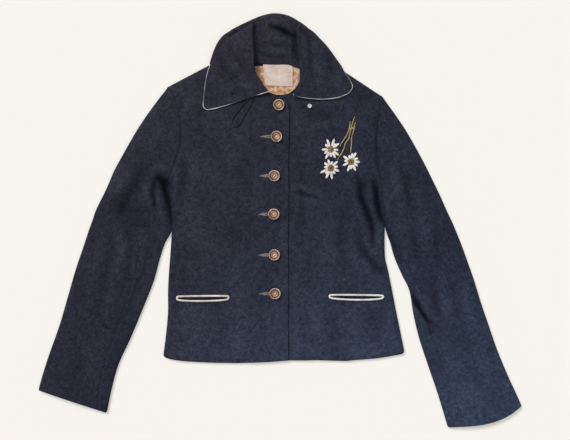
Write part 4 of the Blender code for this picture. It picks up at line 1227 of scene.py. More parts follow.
def makeLeaf(name, rows, lipStart, bow, sag, corner, folds, seed, turn):
    grid = np.array([leafLine(number, row, lipStart, bow, sag) for number, row in enumerate(rows)])
    ahead = grid[-1] - grid[-2]
    ahead /= np.linalg.norm(ahead[:, :2], axis=1, keepdims=True) + 1e-9
    out, lower = leafSizes["tuck"]
    tuck = grid[-1] + ahead * [out, out, 0]
    tuck[:, 2] = mix(grid[-1][:, 2], leafSizes["tuckLevel"], lower)
    grid = np.concatenate([grid, [tuck]])
    last, edgeAt, count = len(grid) - 1, len(leafSizes["lipPlaces"]), leafSizes["lipColumns"]
    down = withRims(leafSizes["rows"], leafSizes["long"]) * last
    face = withRims(leafSizes["columns"], leafSizes["wide"]) * (grid.shape[1] - 1 - edgeAt)
    columns = np.concatenate([np.linspace(0, edgeAt, count + 1)[:-1], edgeAt + face])
    middle = throughGrid(grid, down, columns)
    for end, inside, radius in ((0, 10, corner), (-1, -12, leafSizes["backCorner"])):
        tip, beside, within = middle[end, count, :2], middle[end, count + 12, :2], middle[inside, count, :2]
        middle[..., :2] = roundedCorner(middle[..., :2], tip, beside - tip, within - tip, radius)
    leafShare = np.clip((columns - edgeAt) / 6.2, 0, 1)
    ends = ease(down / 1.2) * ease((last - 0.6 - down) / 1.2)
    window = (np.sin(math.pi * leafShare) ** 0.5)[None, :] * ends[:, None]
    x, y = middle[..., 0], middle[..., 1]
    slack = (foldRelief(x, y, folds, seed) + softGround(x, y, seed, 0.4, 1, 0.9)) * window
    middle[..., 2] += slack
    lip = (down[:-1, None] < lipStart - 0.9) & (columns[None, :-1] < edgeAt)
    quads = gridQuads(*middle.shape[:2])[~lip.ravel()]
    if rows[0][0] < 0:
        quads = quads[:, ::-1]
    full = rimmed(*middle.shape[:2], left=False)
    rim = slice(count, count + len(rimSizes["fullness"]))
    full[:, rim] = np.where(down[:, None] < lipStart - 0.9, rimSizes["fullness"], full[:, rim])
    full[:, :3] = (0.5, 0.8, 1.0)
    full = np.minimum(full, rimmed(*middle.shape[:2], left=False))
    roll = int(np.argmin(np.abs(columns - 9.4)))
    upTo = int(np.argmin(np.abs(down - 5.2)))
    outline = np.concatenate([middle[0, roll:count:-1], middle[:upTo, count]])
    return clothShell(name, middle, quads, collarWall, loden, full, turn=turn, slack=slack), outline


leafRight, leafRightEdge = makeLeaf(
    "collarLeafRightCloth", leafRightRows, 6, 5, (1.1, 0), 10, leafFolds["right"], 70, 0.2
)
leafLeft, leafLeftEdge = makeLeaf(
    "collarLeafLeftCloth", leafLeftRows, 5, 10, (1.35, 0.65), 12, leafFolds["left"], 80, -0.25
)

# Sections across the back of the collar: neck seam x and y, then the roll's x, y and height.
standRows = [
    (-68, 303, -99, 337.5, 5.6),
    (-62, 299, -88, 346, 6.4),
    (-55, 291.5, -74, 353.5, 8),
    (-45, 286, -56, 361.8, 9.5),
    (-28.5, 283, -33, 371.3, 11),
    (-7, 282, -8.5, 375.8, 12),
    (14, 282.5, 15.8, 371.4, 11.5),
    (28, 278, 36.5, 360.2, 9.8),
    (40, 278, 47.4, 352.7, 7.4),
    (50, 290, 54.8, 346, 6),
]
standSizes = {
    "seamLevel": 3.6,
    "overLining": (282, 0.5),
    "fallLevel": 1.6,
    "fallDepth": 46,
    "fullFall": 94,
    "shares": (0, 0.22, 0.45, 0.68, 0.86),
    "rollAngles": (50, 5, -45),
    "rows": 110,
    "columns": 96,
    "long": 140,
    "wide": 150,
}
standFolds = [
    ([(-20, 353), (2, 346), (15, 339), (29, 333)], 5, 6, -2.2),
    ([(27, 340), (30, 322), (29, 304)], 6, 6, -1.2),
    ([(24, 330), (26, 308), (27, 290)], 6, 5, -1.6),
    ([(-30, 362), (-4, 360), (20, 352)], 6, 5, 1.0),
    ([(-26, 334), (-4, 328), (14, 326)], 7, 7, 1.2),
    ([(-22, 322), (0, 317), (18, 316)], 6, 6, -0.9),
    ([(-28, 311), (-6, 306), (18, 305)], 6, 6, 0.7),
    ([(-24, 298), (-4, 294), (18, 293)], 5, 5, -0.6),
    ([(-36, 350), (-38, 325), (-36, 300)], 6, 6, -0.7),
    ([(-54, 352), (-44, 352), (-30, 360)], 6, 6, -0.7),
]


def standLine(row):  # one section of the stand: up from the neck seam, round the roll and down the fall
    fallLevel, top = standSizes["fallLevel"], standSizes["shares"][-1]
    seam, roll, rollLevel = np.array(row[:2]), np.array(row[2:4]), row[4]
    long = np.linalg.norm(roll - seam)
    run = (roll - seam) / long
    end = roll - run * collarWall / 2
    half = (rollLevel - fallLevel) / 2
    liningEdge, lift = standSizes["overLining"]
    seamLevel = standSizes["seamLevel"] + lift * max(0, liningEdge - seam[1])
    line = []
    for share in standSizes["shares"]:
        spot = mix(seam, end - run * half, share / top)
        line.append((*spot, mix(seamLevel, rollLevel, math.sin(share / top * math.pi / 2))))
    for angle in standSizes["rollAngles"]:
        turn = math.radians(angle)
        line.append((*(end - run * half * (1 - math.cos(turn))), fallLevel + half * (1 + math.sin(turn))))
    depth = standSizes["fallDepth"]
    for away in (half + 1, (depth + half) / 2, depth):
        line.append((*(end - run * away * min(1, long / standSizes["fullFall"])), fallLevel))
    return line


def makeStand():
    grid = np.array([standLine(row) for row in standRows])
    last = len(grid) - 1
    down = withRims(standSizes["rows"], standSizes["long"]) * last
    columns = withRims(standSizes["columns"], standSizes["wide"]) * (grid.shape[1] - 1)
    middle = throughGrid(grid, down, columns)
    x, y = middle[..., 0], middle[..., 1]
    shown = ease(columns / 0.8) * ease((6 - columns) / 1.6)
    window = shown[None, :] * (ease(down / 1.2) * ease((last - down) / 1.2))[:, None]
    slack = (foldRelief(x, y, standFolds, 90) + softGround(x, y, 90, 0, 0.5, 0.8)) * window
    middle[..., 2] += slack
    quads, full = gridQuads(*middle.shape[:2]), rimmed(*middle.shape[:2])
    return clothShell("collarBackCloth", middle, quads, collarWall, loden, full, turn=1.57, slack=slack)


collarBack = makeStand()
collar = (
    (leafRight, "collar_leaf_right", (0.13, 0.16), 0.0142, ["frontRightCloth"]),
    (leafLeft, "collar_leaf_left", (0.125, 0.15), 0.0118, ["frontLeftCloth"]),
    (collarBack, "collar_back", (0.15, 0.15), 0.0173, ["backCloth"]),
)
for cloth, node, flat, area, restsOn in collar:
    dress(cloth, "loden", node)
    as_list(restsOn)
print("collar rolled")
# Trims: what is sewn on.
tableStep = 1.5
tableEnds = {"right": (-212, 24), "left": (14, 230), "height": (-262, 242)}
frontTables = {}
for side, levelsOf in (("right", rightFrontLevels), ("left", leftFrontLevels)):
    spots = [np.arange(*tableEnds[span], tableStep) for span in (side, "height")]
    frontTables[side] = levelsOf(*np.meshgrid(*spots, indexing="ij"))[0] + skin


def onFront(side, x, y):  # the top face of a front at these places, read from the table
    table = frontTables[side]
    u = (np.atleast_1d(np.asarray(x, float)) - tableEnds[side][0]) / tableStep
    v = (np.atleast_1d(np.asarray(y, float)) - tableEnds["height"][0]) / tableStep
    i, j = (np.clip(np.floor(at).astype(int), 0, size - 2) for at, size in zip((u, v), table.shape))
    a, b = np.clip(u - i, 0, 1), np.clip(v - j, 0, 1)
    return mix(mix(table[i, j], table[i + 1, j], a), mix(table[i, j + 1], table[i + 1, j + 1], a), b)


def onto(side, plan, lift):  # places on a front, this far above its face
    return raised(plan, onFront(side, plan[:, 0], plan[:, 1]) + lift)


def newTree(name, sizes):  # a Geometry Nodes tree with named inputs
    tree = bpy.data.node_groups.new(name, "GeometryNodeTree")
    geometry = "NodeSocketGeometry"
    tree.interface.new_socket("Geometry", in_out="INPUT", socket_type=geometry)
    for label, (kind, value) in {**sizes, "Material": ("Material", None)}.items():
        socket = tree.interface.new_socket(label, in_out="INPUT", socket_type="NodeSocket" + kind)
        if value is not None:
            socket.default_value = value
    tree.interface.new_socket("Geometry", in_out="OUTPUT", socket_type=geometry)
    given = tree.nodes.new("NodeGroupInput").outputs
    end = tree.nodes.new("NodeGroupOutput")

    def add(kind, inputs=(), output=0, **settings):
        return addNode(tree, kind, inputs, **settings).outputs[output]

    def close(made):
        real = add("GeometryNodeRealizeInstances", {"Geometry": made})
        smooth = add("GeometryNodeSetShadeSmooth", {"Geometry": real})
        dressed = add("GeometryNodeSetMaterial", {"Geometry": smooth, "Material": given["Material"]})
        tree.links.new(dressed, end.inputs[0])
        return tree

    return given, add, close


def grow(name, base, tree, values):  # runs a tree on a mesh, and keeps what it makes as a plain mesh
    holder = linked(name + "Base", base)
    modifier = holder.modifiers.new("grow", "NODES")
    modifier.node_group = tree
    for item in tree.interface.items_tree:
        if item.in_out == "INPUT" and item.name in values:
            modifier[item.identifier] = values[item.name]
    grown = bpy.data.meshes.new_from_object(holder.evaluated_get(bpy.context.evaluated_depsgraph_get()))
    grown.name = name
    holder.modifiers.clear()
    bpy.data.objects.remove(holder)
    bpy.data.meshes.remove(base)
    return linked(name, grown)


def lineMesh(name, lines, **numbers):  # open lines of points, with a number or more kept on each point
    mesh = bpy.data.meshes.new(name)
    points = np.concatenate(lines) * mm
    edges, first = [], 0
    for line in lines:
        edges += [(first + i, first + i + 1) for i in range(len(line) - 1)]
        first += len(line)
    mesh.from_pydata(points.tolist(), edges, [])
    for key, values in numbers.items():
        kept = mesh.attributes.new(key, "FLOAT", "POINT")
        kept.data.foreach_set("value", np.concatenate(values).astype(np.float32))
    return mesh


def makeThreadTree():  # each line becomes a thread as thick as its points say
    given, add, close = newTree("threadLay", {"Sides": ("Int", 6), "Fullness": ("Float", 1.0)})
    curves = add("GeometryNodeMeshToCurve", {"Mesh": given["Geometry"]})
    thickness = add("GeometryNodeInputNamedAttribute", {"Name": "thickness"}, "Attribute")
    scale = add("ShaderNodeMath", {0: thickness, 1: given["Fullness"]}, operation="MULTIPLY")
    ring = add("GeometryNodeCurvePrimitiveCircle", {"Resolution": given["Sides"], "Radius": 1.0})
    laid = {"Curve": curves, "Profile Curve": ring, "Scale": scale, "Fill Caps": True}
    return close(add("GeometryNodeCurveToMesh", laid))


def strayValue(add, given, amount):  # a random value for each point, up to this much each way
    less = add("ShaderNodeMath", {0: 0.0, 1: given[amount]}, operation="SUBTRACT")
    return add("FunctionNodeRandomValue", {2: less, 3: given[amount], "Seed": given["Seed"]}, 1)


def turnedBy(add, rotation, axisAngle):
    inputs = {"Rotation": rotation, "Rotate By": add("FunctionNodeAxisAngleToRotation", axisAngle)}
    return add("FunctionNodeRotateRotation", inputs, rotation_space="LOCAL")


def makeStitchTree():  # short rounded stitches along a line
    floats = {"Spacing": 0.002, "Length": 0.0016, "Thickness": 0.0006, "Slant": 0.0, "Unevenness": 0.1}
    sizes = {label: ("Float", value) for label, value in floats.items()}
    given, add, close = newTree("seamStitches", {**sizes, "Seed": ("Int", 3)})
    curves = add("GeometryNodeMeshToCurve", {"Mesh": given["Geometry"]})
    spaced = add("GeometryNodeResampleCurve", {"Curve": curves, "Length": given["Spacing"]}, mode="LENGTH")
    heading = {"Vector": add("GeometryNodeInputTangent")}
    facing = add("FunctionNodeAlignRotationToVector", heading, axis="X", pivot_axis="Z")
    stray = strayValue(add, given, "Unevenness")
    angle = add("ShaderNodeMath", {0: stray, 1: given["Slant"]}, operation="ADD")
    swell = add("ShaderNodeMath", {0: stray, 1: 1.0}, operation="ADD")
    thick = given["Thickness"]
    size = add("ShaderNodeCombineXYZ", {"X": given["Length"], "Y": thick, "Z": thick})
    scaled = add("ShaderNodeVectorMath", {0: size, "Scale": swell}, operation="SCALE")
    stitch = add("GeometryNodeMeshUVSphere", {"Segments": 7, "Rings": 5, "Radius": 0.5})
    rotation = turnedBy(add, facing, {"Angle": angle})
    laid = {"Points": spaced, "Instance": stitch, "Rotation": rotation, "Scale": scaled}
    return close(add("GeometryNodeInstanceOnPoints", laid))


def makeScatterTree():  # one small shape on each point, turned and sized as the points say
    sizes = {"Shape": ("Object", None), "Seed": ("Int", 5), "Wobble": ("Float", 0.0)}
    given, add, close = newTree("placeOnPoints", sizes)
    shape = add("GeometryNodeObjectInfo", {"Object": given["Shape"], "As Instance": True}, "Geometry")

    def told(name):
        return add("GeometryNodeInputNamedAttribute", {"Name": name}, "Attribute")

    stray = strayValue(add, given, "Wobble")
    lean = add("ShaderNodeMath", {0: told("tip"), 1: stray}, operation="SUBTRACT")
    tipped = add("FunctionNodeAxisAngleToRotation", {"Axis": (0, 1, 0), "Angle": lean})
    rotation = turnedBy(add, tipped, {"Angle": told("spin")})
    laid = {"Points": given["Geometry"], "Instance": shape, "Rotation": rotation, "Scale": told("size")}
    return close(add("GeometryNodeInstanceOnPoints", laid))


threadTree, stitchTree, scatterTree = makeThreadTree(), makeStitchTree(), makeScatterTree()


def layThreads(name, lines, widths, sides, material, slot, *nodes):
    base = lineMesh(name + "Lines", lines, thickness=widths)
    values = {"Sides": sides, "Fullness": 1.0, "Material": material}
    return dress(grow(name, base, threadTree, values), slot, *nodes)


def laySeam(name, lines, sizes, material, slot, *nodes):
    values = {"Material": material, "Slant": sizes["slant"], "Unevenness": 0.08, "Seed": sizes["seed"]}
    values.update({size.title(): sizes[size] * mm for size in ("spacing", "length", "thickness")})
    return dress(grow(name, lineMesh(name + "Lines", lines), stitchTree, values), slot, *nodes)


def placeShapes(name, shape, material, spots, spins, tips, sizes, slot, node):
    base = lineMesh(name + "Places", [spots], spin=[spins], tip=[tips], size=[sizes])
    return dress(grow(name, base, scatterTree, {"Shape": shape, "Material": material}), slot, node)


def makeThread(name, tones, size=900, roughness=0.6, sheen=0.15):
    inputs = {"Sheen Weight": sheen, "Specular IOR Level": 0.35}
    _, add, finish = newMaterial(name, tones[1], roughness, inputs)
    place = objectPlace(add)
    ply, wear = noise(add, place, size, 3, 0.6), noise(add, place, size / 5, 2, 0.5)
    shown = ramped(add, between(add, ply, wear, 0.45), (0.34, 0.5, 0.64), tones)
    return finish(shown, ply, 0.5, 0.0002)


# The loop at the neck is a narrow tube of the jacket's own cloth.
neckLoopSizes = {
    "path": [
        (-48.5, 220), (-51.5, 212.5), (-56.5, 203), (-62.5, 193), (-68, 183.5), (-72.5, 175.5),
        (-77.5, 170.3), (-84, 171), (-87.8, 178), (-84.5, 187), (-78, 195.5), (-71.5, 203.5),
        (-65, 210.5), (-59.5, 216.5),
    ],
    "radius": 1.25,
    "clear": 0.1,
    "steps": 137,
}
loopPlan = evenPath(neckLoopSizes["path"], neckLoopSizes["steps"])
loopRoute = onto("right", loopPlan, neckLoopSizes["radius"] + neckLoopSizes["clear"])
loopRadius = neckLoopSizes["radius"]
neckLoop = roundTube("neckLoopCord", loopRoute, loopRadius, lodenCord, 14, wobble=0.05, seed=4)
dress(neckLoop, "loden", "neck_loop")

# Piping in the seam of each leaf, along its front end and up its outer edge. How much of it shows is told
# at shares of its length.
collarPipingSizes = {
    "radius": 1.2,
    "level": 0.15,
    "clear": 0.2,
    "hidden": 0.8,
    "rise": 1.5,
    "steps": 230,
    "right": [
        (0, 1), (0.07, 0.85), (0.12, 0), (0.3, 0), (0.38, 0.45), (0.46, 0.5), (0.5, 0.8), (0.57, 0.65),
        (0.61, 0.5), (0.66, 0.15), (0.82, 0.1), (0.9, 0.3), (1, 0.3),
    ],
    "left": [
        (0, -0.2), (0.03, 0.1), (0.1, 0.4), (0.2, 0.5), (0.38, 0.5), (0.44, 0.75), (0.5, 1), (0.55, 0.75),
        (0.62, 0.55), (0.68, 0.8), (0.76, 0.45), (1, 0.3),
    ],
}


def leafPipingPath(edge, shown, outward):
    path = evenPath(edge, collarPipingSizes["steps"])
    share = np.interp(np.linspace(0, 1, len(path)), *zip(*shown))
    radius = collarPipingSizes["radius"]
    out = radius * (collarPipingSizes["rise"] * share - collarPipingSizes["hidden"])
    path[:, :2] += besidePath(path) * (outward * out)[:, None]
    lowest = loftMiddle + skin + radius + collarPipingSizes["clear"]
    path[:, 2] = np.maximum(path[:, 2] - collarPipingSizes["level"], lowest)
    return path


for side, edge, outward in (("right", leafRightEdge, 1), ("left", leafLeftEdge, -1)):
    path = leafPipingPath(edge, collarPipingSizes[side], outward)
    name = "collarPiping" + side.title()
    cord = roundTube(name, path, collarPipingSizes["radius"], pipings["grey"], 12, wobble=0.05, seed=6)
    dress(cord, "piping", "collar_piping_" + side)

# A thicker piping runs all round each pocket slit, over the dark facing inside.
pocketSizes = {"radius": 1.75, "flat": 0.85, "steps": 190, "clear": 0.05, "seeds": {"right": 7, "left": 8}}
facingSizes = {"reach": 4.5, "level": 2.6, "wall": 0.8, "ripple": 0.12}


def pocketRing(pocket, reach, count):
    turns = np.linspace(0, 2 * math.pi, 900, endpoint=False)
    x = pocket["x"] + (pocket["half"] + reach) * np.cos(turns)
    upper, lower = slitLips(pocket, x, -reach)
    ring = np.stack([x, np.where(np.sin(turns) >= 0, upper, lower)], 1)
    even = evenly(np.concatenate([ring, ring[:1]]), count, True)
    for _ in range(3):  # rounds the four corners
        even = (np.roll(even, 1, 0) + 2 * even + np.roll(even, -1, 0)) / 4
    return even


for side in ("right", "left"):
    pocket, radius, flat = pockets[side], pocketSizes["radius"], pocketSizes["flat"]
    path = onto(side, pocketRing(pocket, 0, pocketSizes["steps"]), 0)
    rise = path[:, 2]
    path[:, 2] = (np.roll(rise, 2) + np.roll(rise, -2) + rise) / 3 + radius * flat + pocketSizes["clear"]
    name, seed = "pocketPiping" + side.title(), pocketSizes["seeds"][side]
    shown = roundTube(name, path, radius, pipings[side], 12, True, flat, 0.06, seed)
    dress(shown, "piping", "pocket_piping_" + side)
    half, reach, down = pocket["half"], facingSizes["reach"], withRims(20, 18)
    facingX = pocket["x"] + mix(-1, 1, withRims(44, 106)) * (half + reach - 0.5)
    upper, lower = slitLips(pocket, facingX, -reach)
    plan = np.stack([np.tile(facingX, (len(down), 1)), mix(upper[None], lower[None], down[:, None])], -1)
    level = facingSizes["level"] + facingSizes["ripple"] * unevenness(plan[..., 0], plan[..., 1], 9, 21)
    facing = layPatch("pocketFacing" + side.title(), plan, level, facingSizes["wall"], lodenInside)
    dress(facing, "loden_inside", "pocket_facing_" + side)
print("pockets piped")

# The lining shows only inside the neck, with the woven label sewn on it.
brocadeLook = {
    "tones": {
        "shade": (0.3, 0.14, 0.06),
        "ochre": (0.52, 0.27, 0.12),
        "gold": (0.66, 0.39, 0.2),
        "cream": (0.8, 0.6, 0.43),
        "rose": (0.62, 0.36, 0.25),
    },
    "toneAt": (0.33, 0.43, 0.52, 0.6, 0.72),
    "motifsPerMetre": 130,
    "threadsPerMetre": 5200,
}


def makeBrocade(name, look):
    _, add, finish = newMaterial(name, look["tones"]["gold"], 0.42, {"Sheen Weight": 0.2})
    grain, size = laidPlace(add), look["motifsPerMetre"]
    motif = {"Scale": size, "Smoothness": 0.4, "Vector": grain}
    motifs = add("ShaderNodeTexVoronoi", motif, feature="SMOOTH_F1").outputs["Distance"]
    mottle = between(add, motifs, noise(add, grain, size * 1.7, 3, 0.6), 0.6)
    figure = between(add, mottle, ribs(add, grain, look["threadsPerMetre"], {"Distortion": 0.6}), 0.06)
    shown = ramped(add, figure, look["toneAt"], look["tones"].values())
    return finish(shown, figure, 0.6, 0.0004)


def makeWoven(name, look):
    _, add, finish = newMaterial(name, look["tones"][1], 0.55, {"Sheen Weight": 0.1})
    grain = laidPlace(add)
    inputs = {"Scale": look["threadsPerMetre"], "Mortar Size": 0.12, "Vector": grain}
    weave = add("ShaderNodeTexBrick", inputs).outputs["Fac"]
    stain, slubs = noise(add, grain, 60, 4, 0.6), noise(add, grain, 500, 2, 0.5, (0.2, 1, 1))
    shown = ramped(add, between(add, stain, slubs, 0.3), (0.36, 0.5, 0.66), look["tones"])
    return finish(shown, weave, 0.35, 0.00015)


brocade = makeBrocade("goldBrocade", brocadeLook)
labelLook = {"tones": [(0.68, 0.49, 0.4), (0.76, 0.6, 0.51), (0.83, 0.73, 0.67)], "threadsPerMetre": 900}
wovenLabel = makeWoven("wovenSatin", labelLook)

liningSizes = {
    "left": [(-50, 280), (-48.5, 272), (-45, 262), (-39.5, 252.5), (-33.5, 244), (-26.5, 237), (-18, 231)],
    "right": [(34, 280), (37, 272), (38, 262), (36.5, 253.5), (33, 246), (27.5, 238.5), (20, 232)],
    "top": [(-50, 280), (-28, 280), (-7, 280), (15, 280), (34, 280)],
    "foot": [(-18, 231), (-7, 228), (4, 227.5), (13, 229), (20, 232)],
    "level": 2.62,
    "wall": 0.8,
}
liningFolds = [
    ([(33, 280), (31, 270), (30.5, 258), (27, 246), (22, 238)], 1.6, 1.2, -0.4),
    ([(35, 279), (34, 262), (31, 250)], 1.8, 1.6, 0.42),
    ([(-40, 278), (-37, 262), (-29, 246)], 1.4, 2.0, 0.3),
    ([(-20, 236), (0, 233), (18, 236)], 2, 2, 0.25),
]


edges = [np.array(liningSizes[edge], float) for edge in ("left", "right", "top", "foot")]
down, across = withRims(60, 54), withRims(84, 84)
runs = [throughPoints(edge, run * (len(edge) - 1)) for edge, run in zip(edges, (down, down, across, across))]
plan = fillEdges(*runs, down, across)
x, y = plan[..., 0], plan[..., 1]
away = np.minimum(np.abs(plan - plan[:, :1]).max(-1), np.abs(plan - plan[:, -1:]).max(-1))
slack = (foldRelief(x, y, liningFolds, 120) + softGround(x, y, 121, 0.3, 1, 0.25)) * ease(away / 2)
level = liningSizes["level"] + np.maximum(slack, -0.15)
lining = layPatch("neckLining", plan, level, liningSizes["wall"], brocade, 0.5)
dress(lining, "brocade", "back_neck_lining")

labelSizes = {
    "corners": ((-30.5, 282.6), (24, 282.2), (23.5, 242.5), (-26, 244.5)),
    "sides": (48, 41),
    "level": 3.85,
    "wall": 0.55,
    "turnIn": 2.2,
    "turnRise": 0.22,
    "ripple": 0.18,
}
long, high = labelSizes["sides"]
down, across = withRims(44, high), withRims(56, long)
labelCorners = [np.array(corner, float) for corner in labelSizes["corners"]]
first, second, third, fourth = labelCorners
spread = across[None, :, None]
plan = mix(mix(first, second, spread), mix(fourth, third, spread), down[:, None, None])
fromEnds = np.minimum(down, 1 - down)[:, None] * high
fromEdge = np.minimum(fromEnds, np.minimum(across, 1 - across)[None] * long)
turned = labelSizes["turnRise"] * ease((labelSizes["turnIn"] - fromEdge) / 0.5)
ripple = labelSizes["ripple"] * unevenness(plan[..., 0], plan[..., 1], 11, 33) * ease(fromEdge / 3)
level = labelSizes["level"] + turned + ripple
label = layPatch("neckLabel", plan, level, labelSizes["wall"], wovenLabel, -0.03)
dress(label, "woven_label", "label")
print("lining and label laid")
# Two-hole buttons with a raised pale rim, a dark hollow ring and a sunk middle.
buttonSizes = {
    "places": [(-2, 209), (-6, 151.5), (-10, 80), (-11, 10), (-10, -64), (-8.5, -134.5)],
    "spins": [0.9, 0.75, 0.95, 1.5, 0.7, 0.85],
    "tips": [0.12, 0.02, -0.02, 0.02, 0.01, -0.02],
    "profile": [
        (0.02, 0.35), (4.5, 0.3), (7.6, 0.5), (9.3, 1.3), (10.15, 2.5), (10.2, 3.3), (9.85, 4.1), (9.3, 4.5),
        (8.7, 4.55), (8.1, 4.2), (7.6, 3.55), (7.1, 3.2), (6.5, 3.15), (6.0, 3.45), (5.5, 3.7), (4.9, 3.65),
        (4.3, 3.3), (3.6, 2.95), (2.4, 2.75), (0.02, 2.7),
    ],
    "holes": 2.3,
    "holeRadius": 1.0,
    "holeDepth": 1.9,
    "segments": 60,
    "rings": 64,
    "clear": 0.15,
    "seat": 6,
    "radius": 10,
}


def turnedMesh(name, profile, rings, segments, material, pits=(), pitRadius=1.0, pitDepth=1.0):
    rows = throughPoints(profile, np.linspace(0, len(profile) - 1, rings))
    turns = np.arange(segments) * 2 * math.pi / segments
    radius = np.maximum(rows[:, :1], 0.02)
    level = np.repeat(rows[:, 1:], segments, 1)
    points = np.stack([radius * np.cos(turns), radius * np.sin(turns), level], -1)
    topSide = np.arange(rings) > rings * 0.5
    for pitX, pitY in pits:
        away = np.hypot(points[..., 0] - pitX, points[..., 1] - pitY)
        points[..., 2] -= pitDepth * ease((pitRadius + 0.25 - away) / 0.5) * topSide[:, None]
    index = np.arange(rings * segments).reshape(rings, segments)
    after = np.roll(index, -1, 1)
    quads = np.stack([index[:-1], after[:-1], after[1:], index[1:]], -1).reshape(-1, 4)
    mesh = bpy.data.meshes.new(name)
    foot, crown = index[0][::-1].tolist(), index[-1].tolist()
    mesh.from_pydata((points.reshape(-1, 3) * mm).tolist(), [], quads.tolist() + [foot, crown])
    mesh.polygons.foreach_set("use_smooth", np.ones(len(mesh.polygons), bool))
    lay = mesh.uv_layers.new(name="face")  # places on its face, in centimetres
    corners = np.array([loop.vertex_index for loop in mesh.loops])
    lay.data.foreach_set("uv", (points[..., :2] / 10).reshape(-1, 2)[corners].astype(np.float32).ravel())
    mesh.materials.append(material)
    return mesh


hornLook = {
    "rim": (0.44, 0.265, 0.175),
    "rimWorn": (0.62, 0.42, 0.31),
    "hollow": (0.085, 0.034, 0.018),
    "middle": (0.38, 0.195, 0.1),
    "blotches": ((0.36, 0.26, 0.2), plain, (1.5, 1.5, 1.5)),
    # one side of each face painted lighter and the other darker: a painted highlight and painted shade
    "paintedSideLight": ((0.6, 0.56, 0.54), plain, (1.45, 1.5, 1.55)),
    "litSide": (0.7, -0.71, 0),
}
hornZones = {  # how far out each of its zones lies, the edge being 1
    "places": (0.14, 0.26, 0.5, 0.66, 0.75, 0.86, 0.97, 1.0),
    "tones": ("hollow", "middle", "middle", "rim", "hollow", "hollow", "rim", "rimWorn"),
}


def makeHorn(name, look):
    _, add, finish = newMaterial(name, look["middle"], 0.32, {"Coat Weight": 0.25, "Coat Roughness": 0.2})
    face, place = laidPlace(add, "face"), objectPlace(add)
    grain, cloud = noise(add, place, 300, 4, 0.7, (1, 0.4, 1)), noise(add, place, 130, 3, 0.5)
    out = add("ShaderNodeVectorMath", {0: face}, operation="LENGTH").outputs["Value"]
    shift = add("ShaderNodeMath", {0: grain, 1: 0.22, 2: out}, operation="MULTIPLY_ADD").outputs[0]
    bands = ramped(add, shift, hornZones["places"], [look[zone] for zone in hornZones["tones"]])
    blotches = ramped(add, between(add, grain, cloud, 0.5), (0.34, 0.5, 0.66), look["blotches"])
    # painted highlight on one side of the face, painted shade on the other
    lean = add("ShaderNodeVectorMath", {0: face, 1: look["litSide"]}, operation="DOT_PRODUCT")
    towardsLight = ranged(add, lean.outputs["Value"], fromMin=-1)
    shown = multiplied(add, bands, blotches, ramped(add, towardsLight, (0, 0.5, 1), look["paintedSideLight"]))
    return finish(shown, grain, 0.35, 0.0003, ranged(add, cloud, toMin=0.22, toMax=0.5))


horn = makeHorn("brownHorn", hornLook)
goldenTones = {"rim": (0.42, 0.26, 0.14), "hollow": (0.07, 0.026, 0.01), "middle": (0.5, 0.27, 0.11)}
goldenHorn = makeHorn("goldenHorn", {**hornLook, **goldenTones})
paleThread = makeThread("paleThread", [(0.7, 0.62, 0.54), (0.9, 0.86, 0.8), (1, 0.98, 0.95)])


def buttonShape(name, sizes, material):
    pits = [(-sizes["holes"], 0), (sizes["holes"], 0)]
    holes = (pits, sizes["holeRadius"], sizes["holeDepth"])
    mesh = turnedMesh(name, sizes["profile"], sizes["rings"], sizes["segments"], material, *holes)
    return linked(name, mesh)


def seatOf(side, x, y, reach):  # the cloth's highest point under a button
    turns = np.linspace(0, 2 * math.pi, 16)
    spots = [(x + r * math.cos(t), y + r * math.sin(t)) for r in (0, reach / 2, reach) for t in turns]
    return float(onFront(side, *np.array(spots).T).max())


oneButton = buttonShape("oneButton", buttonSizes, horn)
buttons = []  # where each is, how high its cloth is, and how it is turned and tipped
for (x, y), spin, tip in zip(buttonSizes["places"], buttonSizes["spins"], buttonSizes["tips"]):
    buttons.append((x, y, seatOf("right", x, y, buttonSizes["seat"]) + buttonSizes["clear"], spin, tip))
for number, (x, y, seat, spin, tip) in enumerate(buttons, 1):
    spot = np.array([[x, y, seat + buttonSizes["radius"] * abs(tip)]])
    turns = (np.array([spin]), np.array([tip]), np.ones(1))
    look = goldenHorn if number == 1 else horn  # the top button is given more golden tones
    placeShapes("button%d" % number, oneButton, look, spot, *turns, "horn", "button_%d" % number)
bpy.data.objects.remove(oneButton)

# Each button is sewn on with a few passes of pale thread from hole to hole.
sewingSizes = {
    "strands": (-0.5, 0, 0.5),
    "thick": 0.42,
    "rise": 3.15,
    "arch": 0.35,
    "depth": 1.9,
    "reach": 2.45,
}
threadLines, threadWidths = [], []
for x, y, seat, spin, tip in buttons:
    along = np.array([math.cos(spin), math.sin(spin), -math.tan(tip)])
    across = np.array([-math.sin(spin), math.cos(spin), 0])
    for strand in sewingSizes["strands"]:
        shares = np.linspace(-1, 1, 11)
        rise = sewingSizes["rise"] + sewingSizes["arch"] * (1 - abs(strand))
        rise = rise - sewingSizes["depth"] * ease((np.abs(shares) - 0.7) / 0.3)
        line = np.array([x, y, seat]) + along * (shares * sewingSizes["reach"])[:, None]
        line += across * (strand * (1 + 0.3 * shares))[:, None]
        lifted = buttonSizes["radius"] * abs(tip) + along[2] * shares * buttonSizes["holes"]
        line[:, 2] = seat + rise + lifted
        threadLines.append(line)
        threadWidths.append(np.full(len(shares), sewingSizes["thick"] * mm))
layThreads("buttonThreads", threadLines, threadWidths, 7, paleThread, "white_thread")

